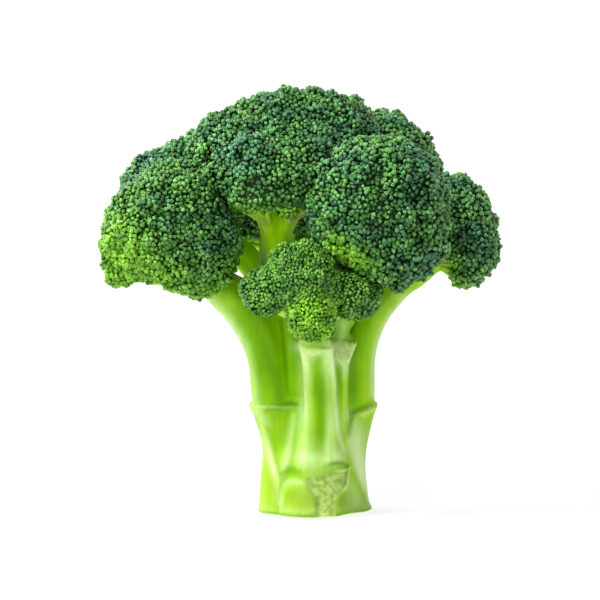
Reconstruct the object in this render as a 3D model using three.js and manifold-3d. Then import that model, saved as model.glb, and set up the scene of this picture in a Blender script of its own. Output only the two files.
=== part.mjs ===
// A head of broccoli standing on its cut stem: one ribbed, branching stalk and the eight florets it carries.
// Millimetres, +Z up. The origin is the centre of the cut face, and +Y points to the back of the head.
import * as THREE from "three";
import Module from "manifold-3d";
import { ConvexHull } from "three/addons/math/ConvexHull.js";
import { mergeVertices } from "three/addons/utils/BufferGeometryUtils.js";

// ---- Driving dimensions ----
const STEM_RADIUS = 20.4; // of the stem between the cut face and the first branches
const STEM_HEIGHT = 46; // where the stem has ended in its branches
const STEM_TAPER = 6; // how much slimmer it is there
const LEAF_BASE_DEPTH = 9; // from a leaf scar's edge to its middle, inside the stem
const LEAF_BASE_LEAN = 3; // how much further in the middle of a leaf base starts
const LEAF_BASE_NARROWING = 0.7; // of the scar's width, from the scar down to the tail
const FOOT_FLARE = 1.2; // how much wider the stem is at the cut face
const RIB_DEPTH = 0.07; // of a branch's radius
const BRANCHLET_RADII = [4.2, 3.2, 6]; // at its root, at its waist and inside its lobe
const BUD_RELIEF = 1.5; // from a bud's tip to the furrow round it
const BUD_SPACING = 5.7; // the least distance between two bud tips
const HIDDEN_SPACING = 1.7; // times as far, underneath and where two florets press together
const SPIRAL_STEPS = 2400; // directions in which a floret is tried for bud tips
const FLORET_GAP = 0.9; // between two florets that press together
const SOCKET_GAP = 0.5; // between a floret and the branchlets that enter it
const LOBE_BLEND = 3; // how softly one lobe of a floret runs into the next
const PRESSED_DEPTH = 0.3; // inside a lobe, from where its surface counts as hidden
const UNDERSIDE_DROOP = 7; // how far a floret's rim hangs below the middle of its underside
const SHORTEST_EDGE = 0.03; // what the stalk's joints may leave
const GOLDEN_ANGLE = Math.PI * (3 - Math.sqrt(5));

const STALK_COLOUR = 0x9ccb3b;
const BUD_COLOUR = 0x2f6b35;

// Each leaf base is a tapering ridge that ends in a leaf scar, a ledge. It has a compass angle in degrees, from
// +X towards +Y, the scar's height, reach from the stem's axis and half width, and the tail, how far down the
// stem the ridge runs.
const LEAF_BASES = [
  { at: 278, scar: 18.5, reach: 24.5, width: 12, tail: 34 },
  { at: 203, scar: 43, reach: 28, width: 11.5, tail: 26 },
  { at: 342, scar: 42, reach: 26, width: 9.5, tail: 26 },
  { at: 76, scar: 39, reach: 23.5, width: 11, tail: 26 },
  { at: 142, scar: 22, reach: 23, width: 11, tail: 26 },
  { at: 22, scar: 24, reach: 22.5, width: 9, tail: 24 },
];

// Each floret: its lobes as [x, y, z, radius], the root where its branch divides, how high above the root its
// underside lies, and its branch as [x, y, z, radius] from inside the stem up to the root.
const FLORETS = [
  {
    name: "floret_top",
    lobes: [
      [-27, -9, 141, 23],
      [-8, -6, 146, 24],
      [9, -4, 142.5, 22.5],
      [-22, -28, 131, 20],
      [-2, -27, 133, 18.5],
      [-16, 14, 141, 22],
    ],
    root: [-16, -9, 110],
    rise: 13,
    branch: [
      [-3, -2, 36, 12],
      [-9, -4, 60, 8.5],
      [-13, -6, 84, 7.5],
      [-16, -9, 108, 7.5],
    ],
  },
  {
    name: "floret_right_back",
    lobes: [
      [30, 14, 139, 20.5],
      [38, 28, 128, 19.5],
      [20, 34, 134, 19],
    ],
    root: [24, 17, 113],
    rise: 11,
    branch: [
      [2, 4, 40, 9],
      [8, 8, 68, 7],
      [15, 13, 92, 6.5],
      [24, 17, 112, 6.5],
    ],
  },
  {
    name: "floret_left_front",
    lobes: [
      [-50, -27, 116, 24],
      [-64, -20, 112, 20.5],
      [-42, -30, 101, 14.5],
      [-70, -13, 104, 12],
    ],
    root: [-36, -17, 92],
    rise: 7,
    branch: [
      [-7.5, -3, 8, 12.5],
      [-11.5, -4, 27, 10],
      [-16.3, -6, 45, 8.8],
      [-19, -8, 64, 8.4],
      [-26, -12, 79, 8.4],
      [-36, -17, 92, 7],
    ],
  },
  {
    name: "floret_left_back",
    lobes: [
      [-59, 10, 127, 20],
      [-47, 30, 124, 20.5],
      [-42, 8, 131.5, 18],
    ],
    root: [-37, 11, 104],
    rise: 10,
    branch: [
      [-6, 4, 40, 8],
      [-14, 6, 66, 7],
      [-24, 9, 88, 6.5],
      [-37, 11, 103, 6],
    ],
  },
  {
    name: "floret_right_front",
    lobes: [
      [24, -40, 124, 26],
      [30, -38, 111, 20],
      [13, -37, 122, 18],
      [13, -20, 105, 12],
      [22, -18, 99, 10.5],
    ],
    root: [14, -17, 82],
    rise: 15,
    branch: [
      [7, -9, 32, 7],
      [9.5, -12, 52, 5.8],
      [11, -14, 68, 5.6],
      [14, -17, 81, 6],
    ],
  },
  {
    name: "floret_right",
    lobes: [
      [54, 3, 114, 19.5],
      [57, -4, 104, 15],
      [61, 6, 103, 14],
    ],
    root: [42, 0, 97],
    rise: 6,
    branch: [
      [8, -3, 8, 12],
      [11.5, -4, 27, 9.5],
      [15.8, -6, 45, 7.8],
      [18, -7, 64, 7],
      [24, -6, 79, 7],
      [33, -3, 90, 6],
      [42, 0, 97, 5],
    ],
  },
  {
    name: "floret_back",
    lobes: [
      [-14, 44, 128, 23],
      [8, 50, 119, 19],
      [-28, 50, 114, 15],
    ],
    root: [-10, 36, 98],
    rise: 10,
    branch: [
      [0, 9, 32, 9],
      [-2, 15, 56, 7.8],
      [-5, 25, 80, 7],
      [-10, 36, 97, 6.5],
    ],
  },
  {
    name: "floret_front",
    lobes: [
      [-6, -43, 94, 14.5],
      [-20, -39, 91, 9.8],
      [15, -37, 88.5, 11.5],
      [-1.5, -48, 80.5, 9.6],
    ],
    root: [-1, -33, 75],
    rise: 3,
    branch: [
      [2, -9, 8, 11],
      [2.4, -13.5, 26, 8.8],
      [2.4, -15, 44, 7],
      [1.4, -19, 58, 6.8],
      [-1, -30, 73, 6.6],
    ],
  },
];

// The stub of a small cut leaf beside the front branch, as [x, y, z, radius].
const LEAF_STUB = [
  [7, -12, 24, 2.6],
  [9.4, -16, 44, 2.4],
  [10.6, -18.5, 56, 2.8],
  [12.4, -20.5, 65, 4.2],
];

const wasm = await Module();
wasm.setup();

// ---- Solids ----

function toSolid(geometry) {
  geometry.deleteAttribute("normal");
  geometry.deleteAttribute("uv");
  const merged = mergeVertices(geometry, 1e-4);
  return new wasm.Manifold(
    new wasm.Mesh({
      numProp: 3,
      vertProperties: merged.attributes.position.array,
      triVerts: new Uint32Array(merged.index.array),
    }),
  );
}

function toGeometry(solid) {
  const { vertProperties, triVerts } = solid.getMesh();
  const geometry = new THREE.BufferGeometry();
  geometry.setAttribute("position", new THREE.BufferAttribute(vertProperties, 3));
  geometry.setIndex(new THREE.BufferAttribute(triVerts, 1));
  geometry.computeVertexNormals();
  return geometry;
}

// Moves each vertex of a unit cylinder to place(angle, share of the height, share of the radius).
function shapeCylinder(sides, steps, place) {
  const geometry = new THREE.CylinderGeometry(1, 1, 1, sides, steps);
  const position = geometry.attributes.position;
  for (let i = 0; i < position.count; i++) {
    const x = position.getX(i);
    const z = position.getZ(i);
    const point = place(Math.atan2(x, z), position.getY(i) + 0.5, Math.hypot(x, z));
    position.setXYZ(i, point.x, point.y, point.z);
  }
  return toSolid(geometry);
}

// A closed tube along [x, y, z, radius] knots, with ribs that run its whole length.
function ribbedTube(knots, sides, steps, ribs) {
  const path = new THREE.CatmullRomCurve3(knots.map(([x, y, z]) => new THREE.Vector3(x, y, z)));
  const radii = new THREE.CatmullRomCurve3(knots.map(([, , , r], k) => new THREE.Vector3(k, r, 0)));
  const rings = [];
  const side = new THREE.Vector3(1, 0, 0);
  for (let i = 0; i <= steps; i++) {
    const tangent = path.getTangent(i / steps);
    side.addScaledVector(tangent, -side.dot(tangent)).normalize();
    rings.push({
      centre: path.getPoint(i / steps),
      radius: radii.getPoint(i / steps).y,
      u: side.clone(),
      v: side.clone().cross(tangent),
    });
  }
  return shapeCylinder(sides, steps, (angle, share, reach) => {
    const ring = rings[Math.round(share * steps)];
    const radius = reach * ring.radius * (1 + RIB_DEPTH * Math.cos(ribs * angle));
    return ring.centre
      .clone()
      .addScaledVector(ring.u, radius * Math.sin(angle))
      .addScaledVector(ring.v, radius * Math.cos(angle));
  });
}

// ---- The stalk ----

// The stem widens at the cut face and tapers at its top, where the branches have taken over.
function stem() {
  return shapeCylinder(24, 7, (angle, share, reach) => {
    const z = share * STEM_HEIGHT;
    const taper = THREE.MathUtils.smoothstep(z, 0.25 * STEM_HEIGHT, STEM_HEIGHT);
    const radius = reach * (STEM_RADIUS + FOOT_FLARE * Math.exp(-z / 6) - STEM_TAPER * taper);
    const compass = angle - Math.PI / 2;
    return new THREE.Vector3(radius * Math.cos(compass), radius * Math.sin(compass), z);
  });
}

// A leaf base grows wider and stands further out as it climbs, and its flat top is the leaf scar.
function leafBase({ at, scar, reach, width, tail }) {
  const bearing = THREE.MathUtils.degToRad(at);
  const outward = new THREE.Vector3(Math.cos(bearing), Math.sin(bearing), 0);
  const across = new THREE.Vector3(-Math.sin(bearing), Math.cos(bearing), 0);
  const low = Math.max(0, scar - tail);
  return shapeCylinder(12, 5, (angle, share, spread) => {
    const z = THREE.MathUtils.lerp(low, scar, share);
    const drop = Math.sqrt((scar - z) / tail);
    const depth = LEAF_BASE_DEPTH * (1 - drop / 2);
    const breadth = width * (1 - LEAF_BASE_NARROWING * drop * drop);
    return outward
      .clone()
      .multiplyScalar(reach - LEAF_BASE_DEPTH - LEAF_BASE_LEAN * drop - spread * depth * Math.cos(angle))
      .addScaledVector(across, -spread * breadth * Math.sin(angle))
      .setZ(z);
  });
}

// ---- The florets ----

// How far a point lies outside a floret's lobes, which run softly into each other.
function lobeDistance(floret, point) {
  let sum = 0;
  for (const [x, y, z, r] of floret.lobes) {
    const distance = Math.hypot(point.x - x, point.y - y, point.z - z) - r;
    sum += Math.exp(-distance / LOBE_BLEND);
  }
  return -LOBE_BLEND * Math.log(sum);
}

// A floret grows along the axis from its root to the middle of its lobes. That middle is its heart, which
// the whole of its surface faces.
function describeAxis(floret) {
  const middle = new THREE.Vector3();
  for (const [x, y, z] of floret.lobes) middle.add(new THREE.Vector3(x, y, z));
  middle.divideScalar(floret.lobes.length);
  floret.base = new THREE.Vector3(...floret.root);
  floret.axis = middle.clone().sub(floret.base).normalize();
  floret.heart = middle;
  floret.spread = Math.max(...floret.lobes.map(([x, y, z, r]) => middle.distanceTo({ x, y, z }) + r));
}

// How far a point lies below the floret's underside, which droops from its middle to its rim.
function undersideDistance(floret, point) {
  const reach = point.clone().sub(floret.base);
  const height = reach.dot(floret.axis);
  const out = reach.addScaledVector(floret.axis, -height).length() / floret.spread;
  return floret.rise - UNDERSIDE_DROOP * out * out - height;
}

// Neighbouring florets share the space between them half and half, less the gap.
function floretDistance(floret, point) {
  const own = lobeDistance(floret, point);
  let distance = Math.max(own, undersideDistance(floret, point));
  for (const other of FLORETS) {
    if (other !== floret) distance = Math.max(distance, (own - lobeDistance(other, point) + FLORET_GAP) / 2);
  }
  return distance;
}

// Walks out from the heart along a direction until it leaves the floret.
function surfaceRadius(floret, direction) {
  let inside = 0;
  let outside = 2;
  const pointAt = (radius) => floret.heart.clone().addScaledVector(direction, radius);
  const distanceAt = (radius) => floretDistance(floret, pointAt(radius));
  while (distanceAt(outside) < 0) {
    inside = outside;
    outside += 2;
  }
  for (let i = 0; i < 12; i++) {
    const middle = (inside + outside) / 2;
    if (distanceAt(middle) < 0) inside = middle;
    else outside = middle;
  }
  return inside;
}

// The dome is the lobes' own surface: the rest is the underside and what the neighbours press flat.
function isDome(floret, point) {
  return lobeDistance(floret, point) > -PRESSED_DEPTH;
}

// Picks the tips of the buds, one by one along a golden spiral of directions, so that no two stand too close.
function pickTips(floret) {
  const tips = [];
  for (let i = 0; i < SPIRAL_STEPS; i++) {
    const height = 1 - (2 * i + 1) / SPIRAL_STEPS;
    const flat = Math.sqrt(1 - height * height);
    const turn = i * GOLDEN_ANGLE;
    const direction = new THREE.Vector3(flat * Math.cos(turn), flat * Math.sin(turn), height);
    const radius = surfaceRadius(floret, direction);
    const point = floret.heart.clone().addScaledVector(direction, radius);
    const spacing = BUD_SPACING * (isDome(floret, point) ? 1 : HIDDEN_SPACING);
    if (tips.every((tip) => tip.point.distanceTo(point) > spacing)) tips.push({ direction, radius, point });
  }
  return tips;
}

// The surface as directions from the heart, radii and triangles. Each bud is a low faceted cone: its tip lies
// on the floret's surface, and the furrow round it runs through the pits between each three tips.
function budRelief(floret) {
  const tips = pickTips(floret);
  const hull = new ConvexHull().setFromPoints(tips.map((tip) => tip.direction));
  const places = tips.map(({ direction, radius }) => ({ direction, radius }));
  const tipIndex = new Map(tips.map((tip, i) => [tip.direction, i]));
  const pitIndex = new Map();
  for (const face of hull.faces) {
    const { edge } = face;
    const direction = new THREE.Vector3();
    for (const corner of [edge, edge.next, edge.prev]) direction.add(corner.head().point);
    direction.normalize();
    const radius = surfaceRadius(floret, direction);
    const dome = isDome(floret, floret.heart.clone().addScaledVector(direction, radius));
    pitIndex.set(face, places.length);
    places.push({ direction, radius: radius - (dome ? BUD_RELIEF : 0) });
  }
  const triangles = [];
  for (const face of hull.faces) {
    for (const edge of [face.edge, face.edge.next, face.edge.prev]) {
      triangles.push(tipIndex.get(edge.tail().point), pitIndex.get(edge.twin.face), pitIndex.get(face));
    }
  }
  return { places, triangles };
}

// The closed solid of a floret's surface, moved out by an allowance.
function floretSolid(floret, { places, triangles }, allowance) {
  const points = places.map(({ direction, radius }) =>
    floret.heart.clone().addScaledVector(direction, radius + allowance),
  );
  const geometry = new THREE.BufferGeometry().setFromPoints(points);
  geometry.setIndex(triangles);
  return toSolid(geometry);
}

// A branchlet climbs from the floret's root into each of its lobes.
function branchlets(floret) {
  const { base, axis, rise } = floret;
  const [lowRadius, waistRadius, highRadius] = BRANCHLET_RADII;
  const low = base.clone().addScaledVector(axis, -lowRadius);
  return floret.lobes.map(([x, y, z]) => {
    const high = new THREE.Vector3(x, y, z);
    const waist = base.clone().lerp(high, 0.25).addScaledVector(axis, 0.15 * rise);
    return ribbedTube([[...low, lowRadius], [...waist, waistRadius], [...high, highRadius]], 6, 3, 0);
  });
}

// ---- Assembly ----

function largestPiece(solid) {
  const pieces = solid.decompose();
  return pieces.reduce((a, b) => (a.volume() > b.volume() ? a : b));
}

function addMesh(group, name, solid, colour) {
  const material = new THREE.MeshStandardMaterial({ color: colour, roughness: 0.6, metalness: 0 });
  const mesh = new THREE.Mesh(toGeometry(solid), material);
  mesh.name = name;
  group.add(mesh);
}

const broccoli = new THREE.Group();
const stalkPieces = [stem(), ribbedTube(LEAF_STUB, 6, 4, 0), ...LEAF_BASES.map(leafBase)];
const sockets = [];
FLORETS.forEach(describeAxis);
for (const floret of FLORETS) {
  const surface = budRelief(floret);
  addMesh(broccoli, floret.name, floretSolid(floret, surface, 0), BUD_COLOUR);
  sockets.push(floretSolid(floret, surface, SOCKET_GAP));
  stalkPieces.push(ribbedTube(floret.branch, 10, 6, 5), ...branchlets(floret));
}
const fused = stalkPieces.reduce((whole, piece) => whole.add(piece));
const socketed = sockets.reduce((whole, socket) => whole.subtract(socket), fused);
addMesh(broccoli, "stalk", largestPiece(socketed.setTolerance(SHORTEST_EDGE)), STALK_COLOUR);

export default broccoli;
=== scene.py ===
"""A head of broccoli standing on its cut stem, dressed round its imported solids.

Shapes are worked out in millimetres and put into the meshes in metres. The origin is the centre of the cut
face, +Z runs up the stem and +Y to the back of the head.
"""

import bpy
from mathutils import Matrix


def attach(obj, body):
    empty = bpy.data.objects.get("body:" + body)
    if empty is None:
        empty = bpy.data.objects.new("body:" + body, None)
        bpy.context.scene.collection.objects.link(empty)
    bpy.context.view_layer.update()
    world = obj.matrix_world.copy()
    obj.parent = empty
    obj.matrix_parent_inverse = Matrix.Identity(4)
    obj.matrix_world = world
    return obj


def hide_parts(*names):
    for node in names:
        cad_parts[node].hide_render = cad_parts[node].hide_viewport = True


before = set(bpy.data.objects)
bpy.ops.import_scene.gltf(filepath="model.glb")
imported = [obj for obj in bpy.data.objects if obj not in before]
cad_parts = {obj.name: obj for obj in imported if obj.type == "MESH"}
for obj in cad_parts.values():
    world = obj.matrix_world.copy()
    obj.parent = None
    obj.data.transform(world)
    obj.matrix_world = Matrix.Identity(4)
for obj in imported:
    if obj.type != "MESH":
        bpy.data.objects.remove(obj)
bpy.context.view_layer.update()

import logging
import math
from abc import ABC, abstractmethod
from dataclasses import dataclass
from enum import Enum
from typing import Any, Callable, Sequence

import bpy
import numpy as np
from mathutils import Vector

log = logging.getLogger("broccoli")

MM = 0.001
FULL_TURN = 2.0 * math.pi
GOLDEN_ANGLE = math.pi * (3.0 - math.sqrt(5.0))
UP = np.array([0.0, 0.0, 1.0])
SEED = 20

# A direction with this much along an axis or more is near it.
NEAR_AXIS = 0.9

Points = np.ndarray
Distance = Callable[[Points], Points]
Solid = bpy.types.Object


# ---------------------------------------------------------------- helpers


def linear(hex_colour: str) -> tuple[float, float, float, float]:
    """Turns an sRGB hex colour to linear light.

    Args:
        hex_colour: Six hex digits after a hash sign.

    Returns:
        Linear red, green, blue and an alpha of 1.
    """
    channels = [int(hex_colour[i : i + 2], 16) / 255.0 for i in (1, 3, 5)]
    bright = [c / 12.92 if c <= 0.04045 else ((c + 0.055) / 1.055) ** 2.4 for c in channels]
    return bright[0], bright[1], bright[2], 1.0


def add_node(tree: bpy.types.NodeTree, kind: str, settings: dict[str | int, Any]) -> Any:
    """Adds a shader node with its settings and links.

    Args:
        tree: The material's node tree.
        kind: The node's type, without ShaderNode in front.
        settings: Attributes of the node, and values of its inputs by name or number. A value is a plain one,
            a hex colour, or another node's output, which is linked.

    Returns:
        The node's outputs.
    """
    node = tree.nodes.new("ShaderNode" + kind)
    for key, value in settings.items():
        if isinstance(key, str) and hasattr(node, key):
            setattr(node, key, value)
        elif isinstance(value, bpy.types.NodeSocket):
            tree.links.new(value, node.inputs[key])
        else:
            node.inputs[key].default_value = linear(value) if isinstance(value, str) else value
    return node.outputs


def make_piece(
    name: str,
    vertices: Points,
    faces: Points,
    material: bpy.types.Material,
    attributes: dict[str, Points],
) -> Solid:
    """Puts arrays into a smooth-shaded mesh object at the origin.

    Args:
        name: The piece's name.
        vertices: One row for each vertex, in millimetres.
        faces: One row of vertex numbers for each face, all of them with as many corners.
        material: What it is made of.
        attributes: A number for each vertex, by name.

    Returns:
        The new object.
    """
    mesh = bpy.data.meshes.new(name)
    corners = faces.shape[1]
    mesh.vertices.add(len(vertices))
    mesh.vertices.foreach_set("co", (vertices * MM).astype(np.float32).ravel())
    mesh.loops.add(faces.size)
    mesh.loops.foreach_set("vertex_index", faces.astype(np.int32).ravel())
    mesh.polygons.add(len(faces))
    mesh.polygons.foreach_set("loop_start", np.arange(0, faces.size, corners, dtype=np.int32))
    mesh.polygons.foreach_set("use_smooth", np.ones(len(faces), dtype=bool))
    for key, values in attributes.items():
        layer = mesh.attributes.new(key, "FLOAT", "POINT")
        layer.data.foreach_set("value", values.astype(np.float32))
    mesh.update(calc_edges=True)
    mesh.validate()
    mesh.materials.append(material)
    piece = bpy.data.objects.new(name, mesh)
    bpy.context.scene.collection.objects.link(piece)
    return piece


def unit(vectors: Points) -> Points:
    """Scales each row to length 1."""
    return vectors / np.maximum(np.linalg.norm(vectors, axis=-1, keepdims=True), 1e-9)


def circle(sides: int) -> Points:
    """Returns the corners of a level ring of radius 1, in equal turns from +X, as rows of x, y and 0."""
    turn = np.arange(sides) * (FULL_TURN / sides)
    return np.column_stack((np.cos(turn), np.sin(turn), np.zeros(sides)))


def golden_directions(count: int) -> Points:
    """Spreads directions evenly over a sphere: heights in equal steps, each turned by the golden angle.

    Args:
        count: How many there are.

    Returns:
        Unit vectors, one a row.
    """
    step = np.arange(count)
    height = 1.0 - (2.0 * step + 1.0) / count
    flat = np.sqrt(1.0 - height**2)
    return np.column_stack((flat * np.cos(step * GOLDEN_ANGLE), flat * np.sin(step * GOLDEN_ANGLE), height))


def side_axes(normals: Points) -> tuple[Points, Points]:
    """Finds two unit vectors across each normal.

    Args:
        normals: Unit vectors, one a row.

    Returns:
        Two arrays of unit vectors, at right angles to the normals and to each other.
    """
    spare = np.where(np.abs(normals[:, 2:3]) < NEAR_AXIS, [[0.0, 0.0, 1.0]], [[1.0, 0.0, 0.0]])
    first = unit(np.cross(spare, normals))
    return first, np.cross(normals, first)


def spaced_out(places: Points, spacing: float) -> Points:
    """Picks places one after another, leaving out each that is nearer than the spacing to one picked before.

    Args:
        places: Candidate points, one a row.
        spacing: The least distance between two picked points.

    Returns:
        The numbers of the picked rows.
    """
    picked: list[int] = []
    kept = np.empty_like(places)
    for number, place in enumerate(places):
        near = kept[: len(picked)] - place
        if not len(picked) or np.einsum("ij,ij->i", near, near).min() > spacing**2:
            kept[len(picked)] = place
            picked.append(number)
    return np.array(picked)


def smooth_path(knots: Points, count: int) -> Points:
    """Runs a Catmull-Rom curve through rows of numbers.

    Args:
        knots: The rows to pass through, in order.
        count: How many points of the curve to return.

    Returns:
        Rows along the curve, from the first knot to the last.
    """
    padded = np.vstack((2 * knots[0] - knots[1], knots, 2 * knots[-1] - knots[-2]))
    place = np.linspace(0.0, len(knots) - 1.0, count)
    cell = np.minimum(place.astype(int), len(knots) - 2)
    t = (place - cell)[:, None]
    p0, p1, p2, p3 = (padded[cell + i] for i in range(4))
    square, cube = 2 * p0 - 5 * p1 + 4 * p2 - p3, 3 * p1 - p0 - 3 * p2 + p3
    return 0.5 * (2 * p1 + (p2 - p0) * t + square * t**2 + cube * t**3)


def carried_axes(along: Points) -> tuple[Points, Points]:
    """Carries a pair of cross axes along a path without twisting them.

    Args:
        along: The path's unit direction at each of its points.

    Returns:
        Two arrays of unit vectors, at right angles to the path and to each other.
    """
    across = np.empty_like(along)
    side = np.array([1.0, 0.0, 0.0]) if abs(along[0, 0]) < NEAR_AXIS else np.array([0.0, 1.0, 0.0])
    for number, way in enumerate(along):
        side = unit(side - side @ way * way)
        across[number] = side
    return across, np.cross(along, across)


def limb_path(knots: Sequence[Sequence[float]], steps: int) -> tuple[Points, Points, Points, Points]:
    """Follows a smooth path whose radius changes as smoothly.

    Args:
        knots: Rows of x, y, z and radius.
        steps: How many stretches the path is cut into.

    Returns:
        The path's points, its radii and its two cross axes.
    """
    path = smooth_path(np.array(knots, dtype=float), steps + 1)
    centres = path[:, :3]
    across, over = carried_axes(unit(np.gradient(centres, axis=0)))
    return centres, path[:, 3], across, over


def tube(knots: Sequence[Sequence[float]], sides: int, steps: int) -> tuple[Points, Points]:
    """Carries a round profile along a smooth path, closed at both ends.

    Args:
        knots: Rows of x, y, z and radius.
        sides: How many corners the profile has.
        steps: How many stretches the path is cut into.

    Returns:
        The vertices, and triangles of their numbers.
    """
    centres, radii, across, over = limb_path(knots, steps)
    corners = circle(sides)[None]
    ring = corners[..., :1] * across[:, None] + corners[..., 1:2] * over[:, None]
    wall = centres[:, None] + radii[:, None, None] * ring
    return np.vstack((wall.reshape(-1, 3), centres[:1], centres[-1:])), closed_grid(steps + 1, sides)


def beside(points: Points, start: Points, end: Points) -> tuple[Points, Points]:
    """Finds the place on a straight stretch that is nearest to each point.

    Args:
        points: One a row.
        start: Where the stretch starts.
        end: Where it ends.

    Returns:
        How far along the stretch each place is, from 0 to 1, and the way from there to the point.
    """
    way = end - start
    from_start = points - start
    share = np.clip(from_start @ way / (way @ way), 0.0, 1.0)
    return share, from_start - share[:, None] * way


def closed_grid(rows: int, sides: int) -> Points:
    """Joins rings of vertices into a closed wall, with the last two vertices as its first and last pole.

    Args:
        rows: How many rings there are.
        sides: How many vertices a ring has.

    Returns:
        Triangles of vertex numbers, facing out where the rings turn anticlockwise about the way they follow.
    """
    k = np.arange(sides)
    after = (k + 1) % sides
    start = np.arange(rows - 1)[:, None] * sides
    a, b = start + k, start + after
    c, d = b + sides, a + sides
    walls = np.concatenate((np.stack((a, b, c), -1).reshape(-1, 3), np.stack((a, c, d), -1).reshape(-1, 3)))
    first, last, top = rows * sides, rows * sides + 1, (rows - 1) * sides
    low = np.column_stack((np.full(sides, first), after, k))
    high = np.column_stack((np.full(sides, last), top + k, top + after))
    return np.concatenate((walls, low, high))


def repeat_shape(vertices: Points, faces: Points, origins: Points, bases: Points) -> tuple[Points, Points]:
    """Copies one shape to many places in a single mesh.

    Args:
        vertices: The shape's vertices in its own axes.
        faces: Its faces.
        origins: Where each copy goes.
        bases: Each copy's three axes as the rows of a matrix, already scaled.

    Returns:
        The vertices and faces of all the copies.
    """
    placed = np.einsum("vi,nij->nvj", vertices, bases) + origins[:, None]
    numbered = faces[None] + (np.arange(len(origins)) * len(vertices))[:, None, None]
    return placed.reshape(-1, 3), numbered.reshape(-1, faces.shape[1])


def joined(parts: Sequence[tuple[Points, Points]]) -> tuple[Points, Points]:
    """Joins meshes into one.

    Args:
        parts: Each mesh's vertices and faces.

    Returns:
        All the vertices, and the faces with each mesh's vertices numbered on from the last.
    """
    starts = np.cumsum([0] + [len(vertices) for vertices, _ in parts[:-1]])
    faces = [faces + start for (_, faces), start in zip(parts, starts)]
    return np.vstack([vertices for vertices, _ in parts]), np.vstack(faces)


def smooth_step(value: Points, low: float, high: float) -> Points:
    """Rises smoothly from 0 at low to 1 at high."""
    share = np.clip((value - low) / (high - low), 0.0, 1.0)
    return share * share * (3.0 - 2.0 * share)


def bell(value: Points, width: float | Points) -> Points:
    """Returns exp(-(value / width)^2), a bell that is 1 at 0."""
    return np.exp(-((value / width) ** 2))


def waves(points: Points, height: float, rate: float, shift: float) -> Points:
    """Returns the height times the sum of sin(rate * v + shift) over a point's x, y and z."""
    return height * np.sin(rate * points + shift).sum(axis=1)


def soft_union(first: Points, second: Points, softness: float) -> Points:
    """Joins two distances, with a fillet where they differ by less than the softness."""
    near = np.maximum(softness - np.abs(first - second), 0.0) / softness
    return np.minimum(first, second) - 0.25 * softness * near**2


# ---------------------------------------------------------------- finishes


COLOURS = {"data_type": "RGBA"}
MULTIPLIED = COLOURS | {"blend_type": "MULTIPLY"}
SMOOTH = {"interpolation_type": "SMOOTHSTEP"}

# The numbers of a Mix node's sockets for colours: the upper colour's share, the lower, the upper, the result.
SHARE, UNDER, OVER, MIXED = 0, 6, 7, 2

# The numbers of a Map Range node's sockets: the value, the ends of its range, and what they are turned to.
VALUE, LOW, HIGH, STARTS_AT, RISES_TO = 0, 1, 2, 3, 4


def per_mm(size: float) -> float:
    """Turns the size of a pattern's patches, in millimetres, to the scale of its texture."""
    return 1.0 / (size * MM)


class Finish(ABC):
    """A material with one Principled shader, whose patterns follow the piece's own coordinates."""

    name: str

    @abstractmethod
    def skin(self, tree: bpy.types.NodeTree, place: bpy.types.NodeSocket) -> dict[str, Any]:
        """Adds the finish's patterns.

        Args:
            tree: The material's node tree.
            place: The output that gives the piece's own coordinates.

        Returns:
            The shader's settings.
        """

    def build(self) -> bpy.types.Material:
        """Makes the material.

        Returns:
            The new material.
        """
        material = bpy.data.materials.new(self.name)
        material.use_nodes = True
        tree = material.node_tree
        tree.nodes.clear()
        place = add_node(tree, "TexCoord", {})["Object"]
        shader = add_node(tree, "BsdfPrincipled", self.skin(tree, place))
        add_node(tree, "OutputMaterial", {0: shader[0]})
        return material


@dataclass(frozen=True)
class PlantTissue(Finish):
    """Fresh plant tissue: a waxy or moist surface over flesh that light goes a little way into."""

    roughness: float = 0.5
    ior: float = 1.5
    gloss: float = 0.5
    scatter: float = 0.3
    scatter_colour: tuple[float, float, float] = (0.5, 1.0, 0.2)
    scatter_depth: float = 2.0
    bump: float = 0.6
    bump_depth: float = 0.6
    sunk: bool = False

    def tissue(self, tree: bpy.types.NodeTree, colour: Any, relief: Any) -> dict[str, Any]:
        """Gives the settings that all plant tissue has.

        Args:
            tree: The material's node tree.
            colour: The output that colours the surface.
            relief: The output that raises it, or sinks it.

        Returns:
            The shader's settings.
        """
        bump = {"invert": self.sunk, "Strength": self.bump, "Distance": self.bump_depth * MM}
        return {
            "Base Color": colour,
            "Normal": add_node(tree, "Bump", bump | {"Height": relief})[0],
            "Roughness": self.roughness,
            "IOR": self.ior,
            "Specular IOR Level": self.gloss,
            "Subsurface Weight": self.scatter,
            "Subsurface Radius": self.scatter_colour,
            "Subsurface Scale": self.scatter_depth * MM,
        }


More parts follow.
